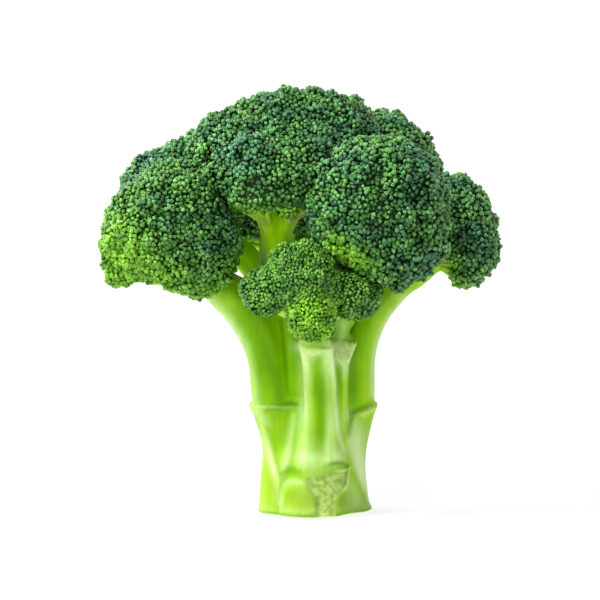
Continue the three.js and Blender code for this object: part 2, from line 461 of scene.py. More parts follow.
@dataclass(frozen=True)
class BudSkin(PlantTissue):
    """Closed broccoli flower buds: smooth sepals under a dull coat of wax.

    The tips are painted minty and pale, partly the wax that gathers on them and partly a painted highlight,
    and the feet of the buds are painted dark green, as painted shade between them. The sides keep a dark
    green that is bluish in some clusters and yellower in others. Wax has an IOR of about 1.4. The knobs are
    the tips of the sepals, a little under a millimetre apart.
    """

    name: str = "waxy_flower_buds"
    # Dark green at the feet of the buds: painted shade between them.
    gap_shade: str = "#143C0E"
    young_gap_shade: str = "#58980A"
    side: str = "#1F5216"
    side_blue: str = "#124028"
    # Pale minty tips: partly the wax that gathers there and partly a painted highlight.
    tip: str = "#7CC266"
    tip_blue: str = "#5CA474"
    warm_side: str = "#306E0C"
    warm_tip: str = "#90CA44"
    young: str = "#6AB80A"
    young_tip: str = "#A6DC40"
    mottle: str = "#98B48E"
    roughness: float = 0.31
    ior: float = 1.4
    scatter: float = 0.1
    scatter_colour: tuple[float, float, float] = (0.5, 1.0, 0.35)
    scatter_depth: float = 0.4
    bump: float = 1.0
    sunk: bool = True
    drift_size: float = 20.0
    mottle_size: float = 5.5
    knob_size: float = 0.85

    def skin(self, tree: bpy.types.NodeTree, place: bpy.types.NodeSocket) -> dict[str, Any]:
        """Colours the buds by their own rise, tone and youth, from painted shade at their feet up over the
        sides to the tips, which are partly wax and partly a painted highlight.

        Args:
            tree: The material's node tree.
            place: The output that gives the piece's own coordinates.

        Returns:
            The shader's settings.
        """
        rise, tone, youth = (
            add_node(tree, "Attribute", {"attribute_name": name})["Fac"] for name in ("rise", "tone", "youth")
        )
        drift, mottle = (
            add_node(tree, "TexNoise", {"Vector": place, "Scale": per_mm(size)})[0]
            for size in (self.drift_size, self.mottle_size)
        )
        # Each row is a value, and where it starts and stops to count.
        ranges = (
            (drift, 0.42, 0.62),
            (tone, 0.3, 0.95),
            (youth, 0.25, 0.95),
            (rise, 0.2, 0.62),
            (rise, 0.68, 1.06),
            (mottle, 0.35, 0.68),
        )
        drifted, warm, youngest, lifted, waxy, mottled = (
            add_node(tree, "MapRange", SMOOTH | {VALUE: value, LOW: low, HIGH: high})[0]
            for value, low, high in ranges
        )
        coats = []
        for colour, blue, yellow, young in (
            (self.side, self.side_blue, self.warm_side, self.young),
            (self.tip, self.tip_blue, self.warm_tip, self.young_tip),
        ):
            for share, over in ((drifted, blue), (warm, yellow), (youth, young)):
                colour = add_node(tree, "Mix", COLOURS | {SHARE: share, UNDER: colour, OVER: over})[MIXED]
            coats.append(colour)
        # The feet start from painted shade between the buds; the tips end in wax with a painted highlight.
        colour = self.gap_shade
        for blend, share, over in (
            (COLOURS, youngest, self.young_gap_shade),
            (COLOURS, lifted, coats[0]),
            (COLOURS, waxy, coats[1]),
            (MULTIPLIED, mottled, self.mottle),
        ):
            colour = add_node(tree, "Mix", blend | {SHARE: share, UNDER: colour, OVER: over})[MIXED]
        knobs = add_node(tree, "TexVoronoi", {"Vector": place, "Scale": per_mm(self.knob_size)})[0]
        return self.tissue(tree, colour, knobs)


@dataclass(frozen=True)
class HeartFlesh(PlantTissue):
    """The flesh under the buds: moist fresh stem tissue, painted dark green between the buds as painted
    shade, and yellower below.
    """

    name: str = "floret_heart_flesh"
    # Dark green where the flesh shows between the buds: painted shade.
    deep_green_and_shade: str = "#14380C"
    light: str = "#86BC10"
    patch: str = "#9DB58A"
    gloss: float = 0.15
    patch_size: float = 2.2
    lump_size: float = 1.8

    def skin(self, tree: bpy.types.NodeTree, place: bpy.types.NodeSocket) -> dict[str, Any]:
        """Colours the flesh lighter where the mesh says it faces down to the branchlets, and dark green,
        painted shade between the buds, elsewhere.

        Args:
            tree: The material's node tree.
            place: The output that gives the piece's own coordinates.

        Returns:
            The shader's settings.
        """
        youth = add_node(tree, "Attribute", {"attribute_name": "youth"})["Fac"]
        patches, lumps = (
            add_node(tree, "TexNoise", {"Vector": place, "Scale": per_mm(size)})[0]
            for size in (self.patch_size, self.lump_size)
        )
        patchy = add_node(tree, "MapRange", SMOOTH | {VALUE: patches, LOW: 0.3, HIGH: 0.7})[0]
        colour = self.deep_green_and_shade
        for blend, share, over in ((COLOURS, youth, self.light), (MULTIPLIED, patchy, self.patch)):
            colour = add_node(tree, "Mix", blend | {SHARE: share, UNDER: colour, OVER: over})[MIXED]
        return self.tissue(tree, colour, lumps)


@dataclass(frozen=True)
class StemSkin(PlantTissue):
    """Fresh broccoli stem: a smooth waxy rind over wet, translucent flesh.

    Light goes a few millimetres in. The hollows are painted a brighter yellow-green, a painted glow for the
    light that shines through the flesh, the flanks of the branches are the deepest green, and each of the
    ridges is painted whitish, a painted highlight that is partly the wax's pale coat. The stems under the
    crown are painted a bright yellow-green, painted light where the crown shades them, and creases, ledges
    and stems in shadow are painted a darker green as painted shade, as is the foot's lowest edge where it
    meets the floor. The old wood near the foot is paler. The IOR is below that of wax, which leaves the weak,
    soft gloss of a dusty wax coat. The fibres run up the stem.
    """

    name: str = "waxy_stem_rind"
    # A brighter yellow-green in the hollows: a painted glow for light that shines through the flesh.
    hollow_glow: str = "#9CD400"
    flank: str = "#96CC00"
    # Whitish ridges: a painted highlight, partly the wax's pale coat.
    ridge_highlight: str = "#C4E060"
    foot: str = "#94B628"
    # The same painted highlight on the ridges of the old wood near the foot.
    foot_ridge_highlight: str = "#BAD076"
    # A bright yellow-green on the stems under the crown: painted light where the crown shades them.
    young: str = "#CCFF14"
    # Whitish lines along ridges and rims: painted highlights, partly the wax's pale coat.
    bloom_and_highlight: str = "#D8EEB6"
    # A darker green in creases, under ledges, on stems in shadow and at the foot: painted shade, and down the
    # column's middle its own darker green.
    deep_green_and_shade: str = "#72A800"
    streak: str = "#C2DC96"
    blotch: str = "#E2EEB8"
    scar: str = "#B2CC74"
    cut: str = "#D8EAA8"
    cork: str = "#CCD8A6"
    pit: str = "#4C6C12"
    roughness: float = 0.33
    ior: float = 1.18
    scatter: float = 0.8
    scatter_colour: tuple[float, float, float] = (0.7, 1.0, 0.1)
    scatter_depth: float = 2.4
    bump: float = 0.3
    bump_depth: float = 0.4
    old_height: tuple[float, float] = (56.0, 6.0)
    under_crown_glow_height: tuple[float, float] = (92.0, 106.0)
    fibre_size: float = 1.7
    fibre_stretch: float = 0.05
    blotch_size: float = 16.0
    cork_size: float = 1.8
    dot_size: float = 1.5

    def skin(self, tree: bpy.types.NodeTree, place: bpy.types.NodeSocket) -> dict[str, Any]:
        """Colours the rind by the stalk's own hollows, ridges, scars and cut faces, and by its height, with a
        painted glow in the hollows, painted highlights on ridges and along lines, painted shade along other
        lines and at the foot, and painted light on the stems under the crown.

        Args:
            tree: The material's node tree.
            place: The output that gives the piece's own coordinates.

        Returns:
            The shader's settings.
        """
        height = add_node(tree, "SeparateXYZ", {0: place})[2]
        swell, bloom_and_highlight, deep_green_and_shade, scar, cut = (
            add_node(tree, "Attribute", {"attribute_name": name})["Fac"]
            for name in ("swell", "bloom_and_highlight", "deep_green_and_shade", "scar", "cut")
        )
        along = add_node(tree, "Mapping", {"Vector": place, "Scale": (1.0, 1.0, self.fibre_stretch)})[0]
        fibres, blotches, cork, dots = (
            add_node(tree, "TexNoise", {"Vector": vector, "Scale": per_mm(size), "Detail": detail})[0]
            for vector, size, detail in (
                (along, self.fibre_size, 3.0),
                (place, self.blotch_size, 2.0),
                (place, self.cork_size, 4.0),
                (place, self.dot_size, 2.0),
            )
        )
        # Each row is a value, where it starts and stops to count, and how much it then counts.
        old, young = (tuple(end * MM for end in ends) for ends in (self.old_height, self.under_crown_glow_height))
        ranges = (
            (height, *old, 1.0),
            (swell, 0.05, 0.4, 1.0),
            (swell, 0.5, 1.0, 1.0),
            # The stems under the crown get painted light.
            (height, *young, 1.0),
            (blotches, 0.4, 0.7, 1.0),
            (cork, 0.38, 0.66, scar),
            (scar, 0.55, 1.0, 0.8),
        )
        aged, low, high, youngest, blotchy, corky, bare = (
            add_node(tree, "MapRange", SMOOTH | {VALUE: value, LOW: start, HIGH: end, RISES_TO: most})[0]
            for value, start, end, most in ranges
        )
        streaks = add_node(tree, "MapRange", {VALUE: fibres, LOW: 0.35, HIGH: 0.72, RISES_TO: 0.4})[0]
        pitted = add_node(tree, "MapRange", SMOOTH | {VALUE: dots, LOW: 0.64, HIGH: 0.77, RISES_TO: bare})[0]
        flank, ridge_highlight = (
            add_node(tree, "Mix", COLOURS | {SHARE: aged, UNDER: fresh, OVER: worn})[MIXED]
            for fresh, worn in ((self.flank, self.foot), (self.ridge_highlight, self.foot_ridge_highlight))
        )
        # From the painted glow of the hollows, the rind takes painted highlights, painted light under the
        # crown and painted shade.
        colour = self.hollow_glow
        for blend, share, over in (
            (COLOURS, low, flank),
            (COLOURS, high, ridge_highlight),
            # Painted light on the stems under the crown.
            (COLOURS, youngest, self.young),
            # Painted highlights, partly the wax's pale coat.
            (COLOURS, bloom_and_highlight, self.bloom_and_highlight),
            # Painted shade, and the column's own darker green.
            (COLOURS, deep_green_and_shade, self.deep_green_and_shade),
            (MULTIPLIED, streaks, self.streak),
            (MULTIPLIED, blotchy, self.blotch),
            (COLOURS, scar, self.scar),
            (COLOURS, cut, self.cut),
            (MULTIPLIED, corky, self.cork),
            (COLOURS, pitted, self.pit),
        ):
            colour = add_node(tree, "Mix", blend | {SHARE: share, UNDER: colour, OVER: over})[MIXED]
        return self.tissue(tree, colour, fibres)


@dataclass(frozen=True)
class OpalTable(Finish):
    """The studio's light table: matt opal acrylic with a faint tooth, lit from below until it looks white.

    The real tooth is finer than a tenth of a millimetre. It is drawn coarser, because it wouldn't show.
    """

    name: str = "opal_light_table"
    colour: str = "#8C8C8B"
    tooth_colour: str = "#888887"
    tooth_size: float = 3.0
    glow_colour: str = "#FFFFFF"
    glow: float = 0.75
    roughness: float = 0.9
    gloss: float = 0.1

    def skin(self, tree: bpy.types.NodeTree, place: bpy.types.NodeSocket) -> dict[str, Any]:
        """Mixes the tooth's two greys and lights them from below.

        Args:
            tree: The material's node tree.
            place: The output that gives the piece's own coordinates.

        Returns:
            The shader's settings.
        """
        tooth = add_node(tree, "TexNoise", {"Vector": place, "Scale": per_mm(self.tooth_size)})[0]
        greys = {SHARE: tooth, UNDER: self.colour, OVER: self.tooth_colour}
        return {
            "Base Color": add_node(tree, "Mix", COLOURS | greys)[MIXED],
            "Roughness": self.roughness,
            "Specular IOR Level": self.gloss,
            "Emission Color": self.glow_colour,
            "Emission Strength": self.glow,
        }


# ---------------------------------------------------------------- florets


class BudSize(Enum):
    """How large a floret's buds are: their spacing and that of their clusters, in millimetres."""

    FULL = (1.92, 5.2)
    FINE = (1.4, 3.9)

    @property
    def spacing(self) -> float:
        """The distance between two buds."""
        return self.value[0]

    @property
    def cluster(self) -> float:
        """The distance between two clusters of buds."""
        return self.value[1]

    @property
    def scale(self) -> float:
        """How large the clusters are beside full ones."""
        return self.cluster / BudSize.FULL.cluster


@dataclass(frozen=True)
class BudShape:
    """One closed bud: a small club with a blunt three-cornered head that is dimpled in the middle.

    A ring of corners is carried up the bud's axis. Its radius and height at each step are the profile, in
    units of the bud's radius, and the radius is larger at every second corner.
    """

    sides: int = 6
    profile: tuple[tuple[float, float], ...] = ((1.0, -0.3), (0.68, 0.6))
    foot: float = -2.8
    dimple: float = 0.46
    # How much darker the dimple is painted: painted shade in it, so the ring round it reads as a highlight.
    dimple_shade: float = 0.1
    angularity: float = 0.16

    def mesh(self) -> tuple[Points, Points]:
        """Builds the bud, with its axis along +Z.

        Returns:
            Its vertices and triangles.
        """
        radius, height = np.array(self.profile).T[..., None]
        radius = radius * (1.0 + self.angularity * (-1.0) ** np.arange(self.sides))
        wall = circle(self.sides) * radius[..., None] + height[..., None] * UP
        vertices = np.vstack((wall.reshape(-1, 3), self.foot * UP, self.dimple * UP))
        return vertices, closed_grid(len(self.profile), self.sides)

    def rise(self, vertices: Points) -> Points:
        """Measures how far up the bud its vertices are.

        Args:
            vertices: The bud's vertices.

        Returns:
            A height for each, from 0 to 1, and a little less for the dimple, which paints shade in it and so
            leaves a pale ring round it as a painted highlight.
        """
        height = (vertices[:, 2] - vertices[:, 2].min()) / np.ptp(vertices[:, 2])
        height[-1] -= self.dimple_shade
        return height


@dataclass(frozen=True)
class Growth:
    """How buds, clusters and twigs grow on every floret.

    Lengths are in millimetres or, for clusters and buds, in shares of their spacing or radius. An even draw
    has its least and most, a triangular one its likeliest between them, and the tone's beta draw its two
    powers. A spread is how far draws stray. A wave is its height, rate and shift. Clusters start above the
    edge by the second of its two numbers less a wave, and at least by the first. Buds sunk in the creases
    between clusters are painted darker, as painted shade, over a depth, the second number, from a start,
    the first.
    """

    # The walk out from the heart to the surface.
    step: float = 2.0
    halvings: int = 9

    # Where clusters are, and how far they bulge.
    cluster_sites: int = 5000
    site_spread: float = 0.02
    cluster_depth: float = 7.0
    above_edge: tuple[float, float] = (0.3, 0.9)
    edge_wave: tuple[float, float, float] = (1.6, 0.5, 0.0)
    pole_spread: float = 0.08
    cluster_radius: tuple[float, float] = (0.56, 0.72)
    bulge: tuple[float, float] = (-2.5, 0.3)
    bulge_wave: tuple[float, float, float] = (0.45, 0.42, 1.0)

    # Where buds are.
    bud_share: float = 0.87
    first_bud: tuple[float, float] = (0.2, 0.8)
    lowest_bud: float = 0.12
    overlap: float = 0.12
    filler_sites: int = 6000
    filler_sunk: tuple[float, float] = (1.4, 2.6)
    filler_depth: float = 9.0
    filler_above_edge: float = 1.5
    past_neighbour: float = 0.2
    past_edge: float = 1.2
    bud_spread: float = 0.05
    bud_gap: float = 0.7

    # Each bud's lean and size.
    outward: float = 0.3
    lean_spread: float = 0.16
    bud_radius: tuple[float, float, float] = (0.66, 1.08, 1.3)
    stretch: tuple[float, float] = (0.86, 1.16)
    tallness: tuple[float, float] = (0.95, 1.3)
    lift_spread: float = 0.17

    # Each bud's colour.
    low_youth: tuple[float, float] = (0.4, 1.1)
    own_youth: tuple[float, float] = (0.5, 1.2)
    patch_youth: tuple[float, float] = (0.7, 1.3)
    patch_edge: float = 0.7
    tone: tuple[float, float] = (2.2, 4.6)
    young_tone: float = 0.5
    rise_spread: float = 0.06
    # Buds sunk in the creases lose this much rise, which paints shade in the creases.
    crease_shade: float = 0.2
    crease_shade_depth: tuple[float, float] = (0.8, 3.6)

    # The flesh under the buds.
    core_pitch: float = 2.6
    core_under_clusters: float = 1.43
    core_under_lobes: float = 3.08
    core_above_underside: float = 2.86
    core_from_neighbours: float = 0.44
    core_light_depth: float = 6.0
    core_youth: float = 0.6

    # Branchlets and twigs.
    branchlet_start: float = 4.2
    waist: float = 0.25
    waist_rise: float = 0.15
    branchlet_end: float = 0.22
    twig_depth: float = 9.0
    fork: tuple[float, float] = (0.1, 0.4)
    twig_bow: float = 0.12
    twig_sag: float = 0.8
    twig_radii: tuple[float, float, float] = (1.7, 1.1, 1.8)
    twig_sides: int = 7
    twig_steps: int = 6


@dataclass
class Clusters:
    """A floret's clusters of buds, each a small dome on its surface: a sphere that is mostly sunk in it."""

    centres: Points
    radii: Points
    poles: Points

    def distances(self, points: Points) -> Points:
        """Returns how far each point lies outside each cluster, with a row for each point."""
        return np.linalg.norm(points[:, None] - self.centres, axis=2) - self.radii


@dataclass
class Floret:
    """One head of buds on its own branch: lobes that run softly into each other over a drooping underside.

    The lobes are spheres, as rows of x, y, z and radius, and the floret lies within the soft union of them,
    above its underside, and on its own side of the surfaces half way to its neighbours.
    """

    name: str
    lobes: Sequence[Sequence[float]]
    root: Sequence[float]
    rise: float
    branch: "Limb"
    size: BudSize = BudSize.FULL
    youth: float = 0.0
    lobe_blend: float = 3.0
    droop: float = 7.0
    pressed: float = 0.9
    ripening: float = 6.0
    fresh: Sequence[float] = (0.0, 0.0, 0.0, 1.0)
    growth: Growth = Growth()

    def __post_init__(self) -> None:
        """Works out the floret's heart, axis and spread from its lobes."""
        rows = np.array(self.lobes, dtype=float)
        self.middles, self.reaches = rows[:, :3], rows[:, 3]
        self.base = np.array(self.root, dtype=float)
        self.heart = self.middles.mean(axis=0)
        self.axis = unit(self.heart - self.base)
        self.spread = (np.linalg.norm(self.middles - self.heart, axis=1) + self.reaches).max()
        self.neighbours: list["Floret"] = []

    def lobe_distance(self, points: Points) -> Points:
        """Measures how far points lie outside the lobes: -b log(sum(exp(-distance / b))) for a blend of b."""
        away = np.linalg.norm(points[:, None] - self.middles, axis=2) - self.reaches
        return -self.lobe_blend * np.log(np.exp(-away / self.lobe_blend).sum(axis=1))

    def underside_distance(self, points: Points) -> Points:
        """Measures how far points lie below the underside, which droops with the square of the way out.

        Args:
            points: One a row.

        Returns:
            A distance for each point.
        """
        height = (points - self.base) @ self.axis
        out = np.linalg.norm(points - self.base - height[:, None] * self.axis, axis=1) / self.spread
        return self.rise - self.droop * out**2 - height

    def neighbour_distance(self, points: Points) -> Points:
        """Measures how far points lie past the surfaces half way to the neighbouring florets.

        Args:
            points: One a row.

        Returns:
            A distance for each point.
        """
        own = self.lobe_distance(points)
        others = [(own - other.lobe_distance(points) + self.pressed) / 2.0 for other in self.neighbours]
        return np.max(others, axis=0)

    def distance(self, points: Points) -> Points:
        """Measures how far points lie outside the floret."""
        parts = (self.lobe_distance(points), self.underside_distance(points), self.neighbour_distance(points))
        return np.max(parts, axis=0)

    def core_distance(self, points: Points, clusters: Clusters) -> Points:
        """Measures how far points lie outside the core, which is a little under the buds and clusters.

        Args:
            points: One a row.
            clusters: The floret's clusters.

        Returns:
            A distance for each point.
        """
        grow = self.growth
        under_clusters = clusters.distances(points).min(axis=1) + grow.core_under_clusters
        under_buds = np.minimum(under_clusters, self.lobe_distance(points) + grow.core_under_lobes)
        below = self.underside_distance(points) + grow.core_above_underside
        past = self.neighbour_distance(points) + grow.core_from_neighbours
        return np.max((under_buds, below, past), axis=0)

    def exit_radius(self, directions: Points, distance: Distance) -> Points:
        """Walks out from the heart until a distance turns positive, then halves the last step.

        Args:
            directions: Unit vectors.
            distance: A function from points to distances.

        Returns:
            The radius of the surface along each direction.
        """
        inside = np.zeros(len(directions))
        going = np.ones(len(directions), dtype=bool)
        width = self.growth.step
        for radius in np.arange(width, self.spread + 2.0 * width, width):
            going[going] = distance(self.heart + radius * directions[going]) < 0.0
            inside[going] = radius
        for _ in range(self.growth.halvings):
            width /= 2.0
            deeper = distance(self.heart + (inside + width)[:, None] * directions) < 0.0
            inside += width * deeper
        return inside

    def lobe_normals(self, points: Points) -> Points:
        """Finds the way out of the lobes: the ways from their middles, weighted as in the soft union.

        Args:
            points: One a row.

        Returns:
            Unit vectors, one a row.
        """
        away = points[:, None] - self.middles
        reach = np.linalg.norm(away, axis=2)
        weight = np.exp(-(reach - self.reaches) / self.lobe_blend)
        return unit((weight[:, :, None] * away / reach[:, :, None]).sum(axis=1))

    def clusters(self, rng: np.random.Generator) -> Clusters:
        """Places the clusters, spaced out over the dome, each a sphere that bulges a little way out of it.

        Args:
            rng: The source of the random draws.

        Returns:
            The clusters.
        """
        grow = self.growth
        strayed = rng.normal(0.0, grow.site_spread, (grow.cluster_sites, 3))
        directions = unit(golden_directions(grow.cluster_sites) + strayed)
        places = self.heart + self.exit_radius(directions, self.distance)[:, None] * directions
        least, ragged = grow.above_edge
        edge = np.minimum(-least, waves(places, *grow.edge_wave) - ragged)
        dome = (self.lobe_distance(places) > -grow.cluster_depth) & (self.underside_distance(places) < edge)
        places = places[dome]
        places = places[spaced_out(places, self.size.cluster)]
        count = len(places)
        poles = unit(self.lobe_normals(places) + rng.normal(0.0, grow.pole_spread, (count, 3)))
        radii = self.size.cluster * rng.uniform(*grow.cluster_radius, count)
        bulge = (rng.uniform(*grow.bulge, count) + waves(places, *grow.bulge_wave)) * self.size.scale
        return Clusters(places - poles * (radii - bulge)[:, None], radii, poles)

    def spiral(self, radius: float, pole: Points, rng: np.random.Generator) -> Points:
        """Places one cluster's buds on a golden spiral from its pole, each with an equal share of its area.

        Args:
            radius: The cluster's radius.
            pole: The way out of the floret through the cluster.
            rng: The source of the random draws.

        Returns:
            The ways from the cluster's centre to its buds.
        """
        grow = self.growth
        share = grow.bud_share * self.size.spacing**2 / (FULL_TURN * radius**2)
        height = 1.0 - share * (np.arange(int(1.0 / share)) + rng.uniform(*grow.first_bud))
        height = height[height > grow.lowest_bud]
        turn = np.arange(len(height)) * GOLDEN_ANGLE + rng.uniform(0.0, FULL_TURN)
        first, second = (axis[0] for axis in side_axes(pole[None]))
        flat = np.sqrt(1.0 - height**2)
        way = height[:, None] * pole + (flat * np.cos(turn))[:, None] * first
        return way + (flat * np.sin(turn))[:, None] * second

    def fillers(self, rng: np.random.Generator) -> tuple[Points, Points]:
        """Places the buds that fill the gaps, a little under the floret's surface.

        Args:
            rng: The source of the random draws.

        Returns:
            The middles of the buds' heads, and the ways they point.
        """
        grow = self.growth
        way = golden_directions(grow.filler_sites)
        sunk = rng.uniform(*grow.filler_sunk, len(way)) * self.size.spacing / 2.0
        place = self.heart + (self.exit_radius(way, self.distance) - sunk)[:, None] * way
        dome = self.lobe_distance(place) > -grow.filler_depth
        dome &= self.underside_distance(place) < -grow.filler_above_edge
        return place[dome], way[dome]

    def bud_places(self, clusters: Clusters, rng: np.random.Generator) -> tuple[Points, Points]:
        """Places the buds: a spiral on each cluster, less what falls inside others, and then the fillers.

        Args:
            clusters: The floret's clusters.
            rng: The source of the random draws.

        Returns:
            The middles of the buds' heads, and the ways they point.
        """
        grow, spacing = self.growth, self.size.spacing
        places, ways = [], []
        for centre, radius, pole in zip(clusters.centres, clusters.radii, clusters.poles):
            way = self.spiral(radius, pole, rng)
            place = centre + radius * way
            keep = (clusters.distances(place) > -grow.overlap * spacing).all(axis=1)
            places.append(place[keep])
            ways.append(way[keep])
        place, way = self.fillers(rng)
        place, way = np.concatenate((*places, place)), np.concatenate((*ways, way))
        keep = self.neighbour_distance(place) < grow.past_neighbour
        keep &= self.underside_distance(place) < grow.past_edge
        place, way = place[keep], way[keep]
        place += rng.normal(0.0, grow.bud_spread * spacing, place.shape)
        keep = spaced_out(place, grow.bud_gap * spacing)
        return place[keep], way[keep]

    def bud_axes(self, place: Points, way: Points, rng: np.random.Generator) -> tuple[Points, Points]:
        """Gives each bud its own lean, spin, width and height.

        Args:
            place: The middles of the buds' heads.
            way: The ways they point.
            rng: The source of the random draws.

        Returns:
            The buds' places, raised or sunk a little, and their three axes as the rows of a matrix for each.
        """
        grow, count = self.growth, len(place)
        strayed = rng.normal(0.0, grow.lean_spread, (count, 3))
        way = unit((1.0 - grow.outward) * way + grow.outward * self.lobe_normals(place) + strayed)
        first, second = side_axes(way)
        spin = rng.uniform(0.0, FULL_TURN, count)[:, None]
        radius = 0.5 * self.size.spacing * rng.triangular(*grow.bud_radius, (count, 1))
        stretch = rng.uniform(*grow.stretch, (count, 1))
        across = (np.cos(spin) * first + np.sin(spin) * second) * radius * stretch
        over = (np.cos(spin) * second - np.sin(spin) * first) * radius / stretch
        tall = way * radius * rng.uniform(*grow.tallness, (count, 1))
        lift = rng.normal(0.0, grow.lift_spread * self.size.spacing, (count, 1))
        return place + way * lift, np.stack((across, over, tall), 1)

    def bud_looks(self, place: Points, rng: np.random.Generator) -> dict[str, Points]:
        """Gives each bud its looks.

        Args:
            place: The middles of the buds' heads.
            rng: The source of the random draws.

        Returns:
            How much each bud's rise is changed, at random and lower in the creases as painted shade, its tone
            and its youth, which is most near the underside and in the floret's fresh patch.
        """
        grow, count = self.growth, len(place)
        above = -self.underside_distance(place)
        youth = np.clip(1.0 - above / self.ripening, 0.0, 1.0) * rng.uniform(*grow.low_youth, count)
        youth += self.youth * rng.uniform(*grow.own_youth, count)
        patch = np.linalg.norm(place - np.array(self.fresh[:3]), axis=1) / self.fresh[3]
        youth += smooth_step(1.0 - patch, 0.0, grow.patch_edge) * rng.uniform(*grow.patch_youth, count)
        tone = rng.beta(*grow.tone, count) + grow.young_tone * self.youth
        # Buds sunk in the creases between clusters are painted darker: painted shade.
        start, depth = grow.crease_shade_depth
        sunk = np.clip((-self.lobe_distance(place) - start) / depth, 0.0, 1.0)
        return {
            "rise": rng.normal(0.0, grow.rise_spread, count) - grow.crease_shade * sunk,
            "tone": np.clip(tone, 0.0, 1.0),
            "youth": np.clip(youth, 0.0, 1.0),
        }

    def bud_heads(self, material: bpy.types.Material, clusters: Clusters, rng: np.random.Generator) -> Solid:
        """Builds all the floret's buds as one mesh: copies of one closed bud.

        Args:
            material: What the piece is made of.
            clusters: The floret's clusters.
            rng: The source of the random draws.

        Returns:
            The new object.
        """
        place, way = self.bud_places(clusters, rng)
        bud = BudShape()
        shape, triangles = bud.mesh()
        origins, bases = self.bud_axes(place, way, rng)
        vertices, faces = repeat_shape(shape, triangles, origins, bases)
        looks = {key: np.repeat(values, len(shape)) for key, values in self.bud_looks(place, rng).items()}
        looks["rise"] += np.tile(bud.rise(shape), len(place))
        return make_piece(self.name + "_buds", vertices, faces, material, looks)

    def core(self, material: bpy.types.Material, clusters: Clusters) -> Solid:
        """Builds the flesh under the buds: a closed surface over latitude and longitude round the heart.

        Args:
            material: What the piece is made of.
            clusters: The floret's clusters.

        Returns:
            The new object.
        """
        grow = self.growth
        rows = int(math.pi * self.spread / grow.core_pitch)
        polar = ((np.arange(rows) + 0.5) * math.pi / rows)[:, None, None]
        grid = -np.cos(polar) * UP + np.sin(polar) * circle(2 * rows)
        directions = np.vstack((grid.reshape(-1, 3), -UP, UP))
        radius = self.exit_radius(directions, lambda points: self.core_distance(points, clusters))
        vertices = self.heart + radius[:, None] * directions
        below = self.underside_distance(vertices) + grow.core_above_underside
        # Flesh high under the buds keeps the dark green of painted shade; lower down it turns lighter.
        light = np.clip(1.0 + below / grow.core_light_depth, 0.0, 1.0) + grow.core_youth * self.youth
        looks = {"youth": np.clip(light, 0.0, 1.0)}
        return make_piece(self.name + "_core", vertices, closed_grid(rows, 2 * rows), material, looks)

    def branchlet(self, lobe: Points) -> Points:
        """Leads a branchlet from just under the root into a lobe.

        Args:
            lobe: The lobe's middle.

        Returns:
            The branchlet's start, waist and end.
        """
        grow = self.growth
        start = self.base - grow.branchlet_start * self.axis
        waist = (1.0 - grow.waist) * self.base + grow.waist * lobe + grow.waist_rise * self.rise * self.axis
        end = grow.branchlet_end * self.base + (1.0 - grow.branchlet_end) * lobe
        return np.vstack((start, waist, end))

    def twigs(self, clusters: Clusters, rng: np.random.Generator) -> list[tuple[Points, Points]]:
        """Carries a thin twig from the nearest branchlet to each cluster that shows from below.

        Args:
            clusters: The floret's clusters.
            rng: The source of the random draws.

        Returns:
            The vertices and triangles of each twig.
        """
        grow, scale = self.growth, self.size.scale
        low = -self.underside_distance(clusters.centres) < grow.twig_depth
        made = []
        for end in clusters.centres[low]:
            _, waist, tip = self.branchlet(self.middles[np.linalg.norm(self.middles - end, axis=1).argmin()])
            fork = waist + rng.uniform(*grow.fork) * (tip - waist)
            bow = grow.twig_bow * np.linalg.norm(end - fork) * unit(end - waist)
            elbow = 0.5 * (fork + end) + bow - grow.twig_sag * scale * self.axis
            knots = np.column_stack((np.vstack((fork, elbow, end)), scale * np.array(grow.twig_radii)))
            made.append(tube(knots, grow.twig_sides, grow.twig_steps))
        return made


@dataclass
class Crown:
    """All the florets, which share the space between them, and the twigs under them."""

    florets: Sequence[Floret]
    twig_swell: float = 0.45
    twig_bloom_and_highlight: float = 0.2

    def __post_init__(self) -> None:
        """Tells each floret which its neighbours are."""
        for floret in self.florets:
            floret.neighbours = [other for other in self.florets if other is not floret]

    def build(self) -> list[Solid]:
        """Builds each floret's buds and core, and then all the twigs as one piece.

        Returns:
            The new objects.
        """
        buds = BudSkin().build()
        flesh = HeartFlesh().build()
        pieces: list[Solid] = []
        twigs: list[tuple[Points, Points]] = []
        for number, floret in enumerate(self.florets):
            rng = np.random.default_rng(SEED + number)
            clusters = floret.clusters(rng)
            heads = floret.bud_heads(buds, clusters, rng)
            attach(heads, "root")
            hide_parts(floret.name)
            core = floret.core(flesh, clusters)
            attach(core, "root")
            pieces += [heads, core]
            twigs += floret.twigs(clusters, rng)
        vertices, faces = joined(twigs)
        # The twigs get an even share of the stem's painted highlights.
        level = np.ones(len(vertices))
        looks = {"swell": self.twig_swell * level, "bloom_and_highlight": self.twig_bloom_and_highlight * level}
        piece = make_piece("twigs", vertices, faces, StemSkin().build(), looks)
        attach(piece, "root")
        return [*pieces, piece]


# ---------------------------------------------------------------- stalk


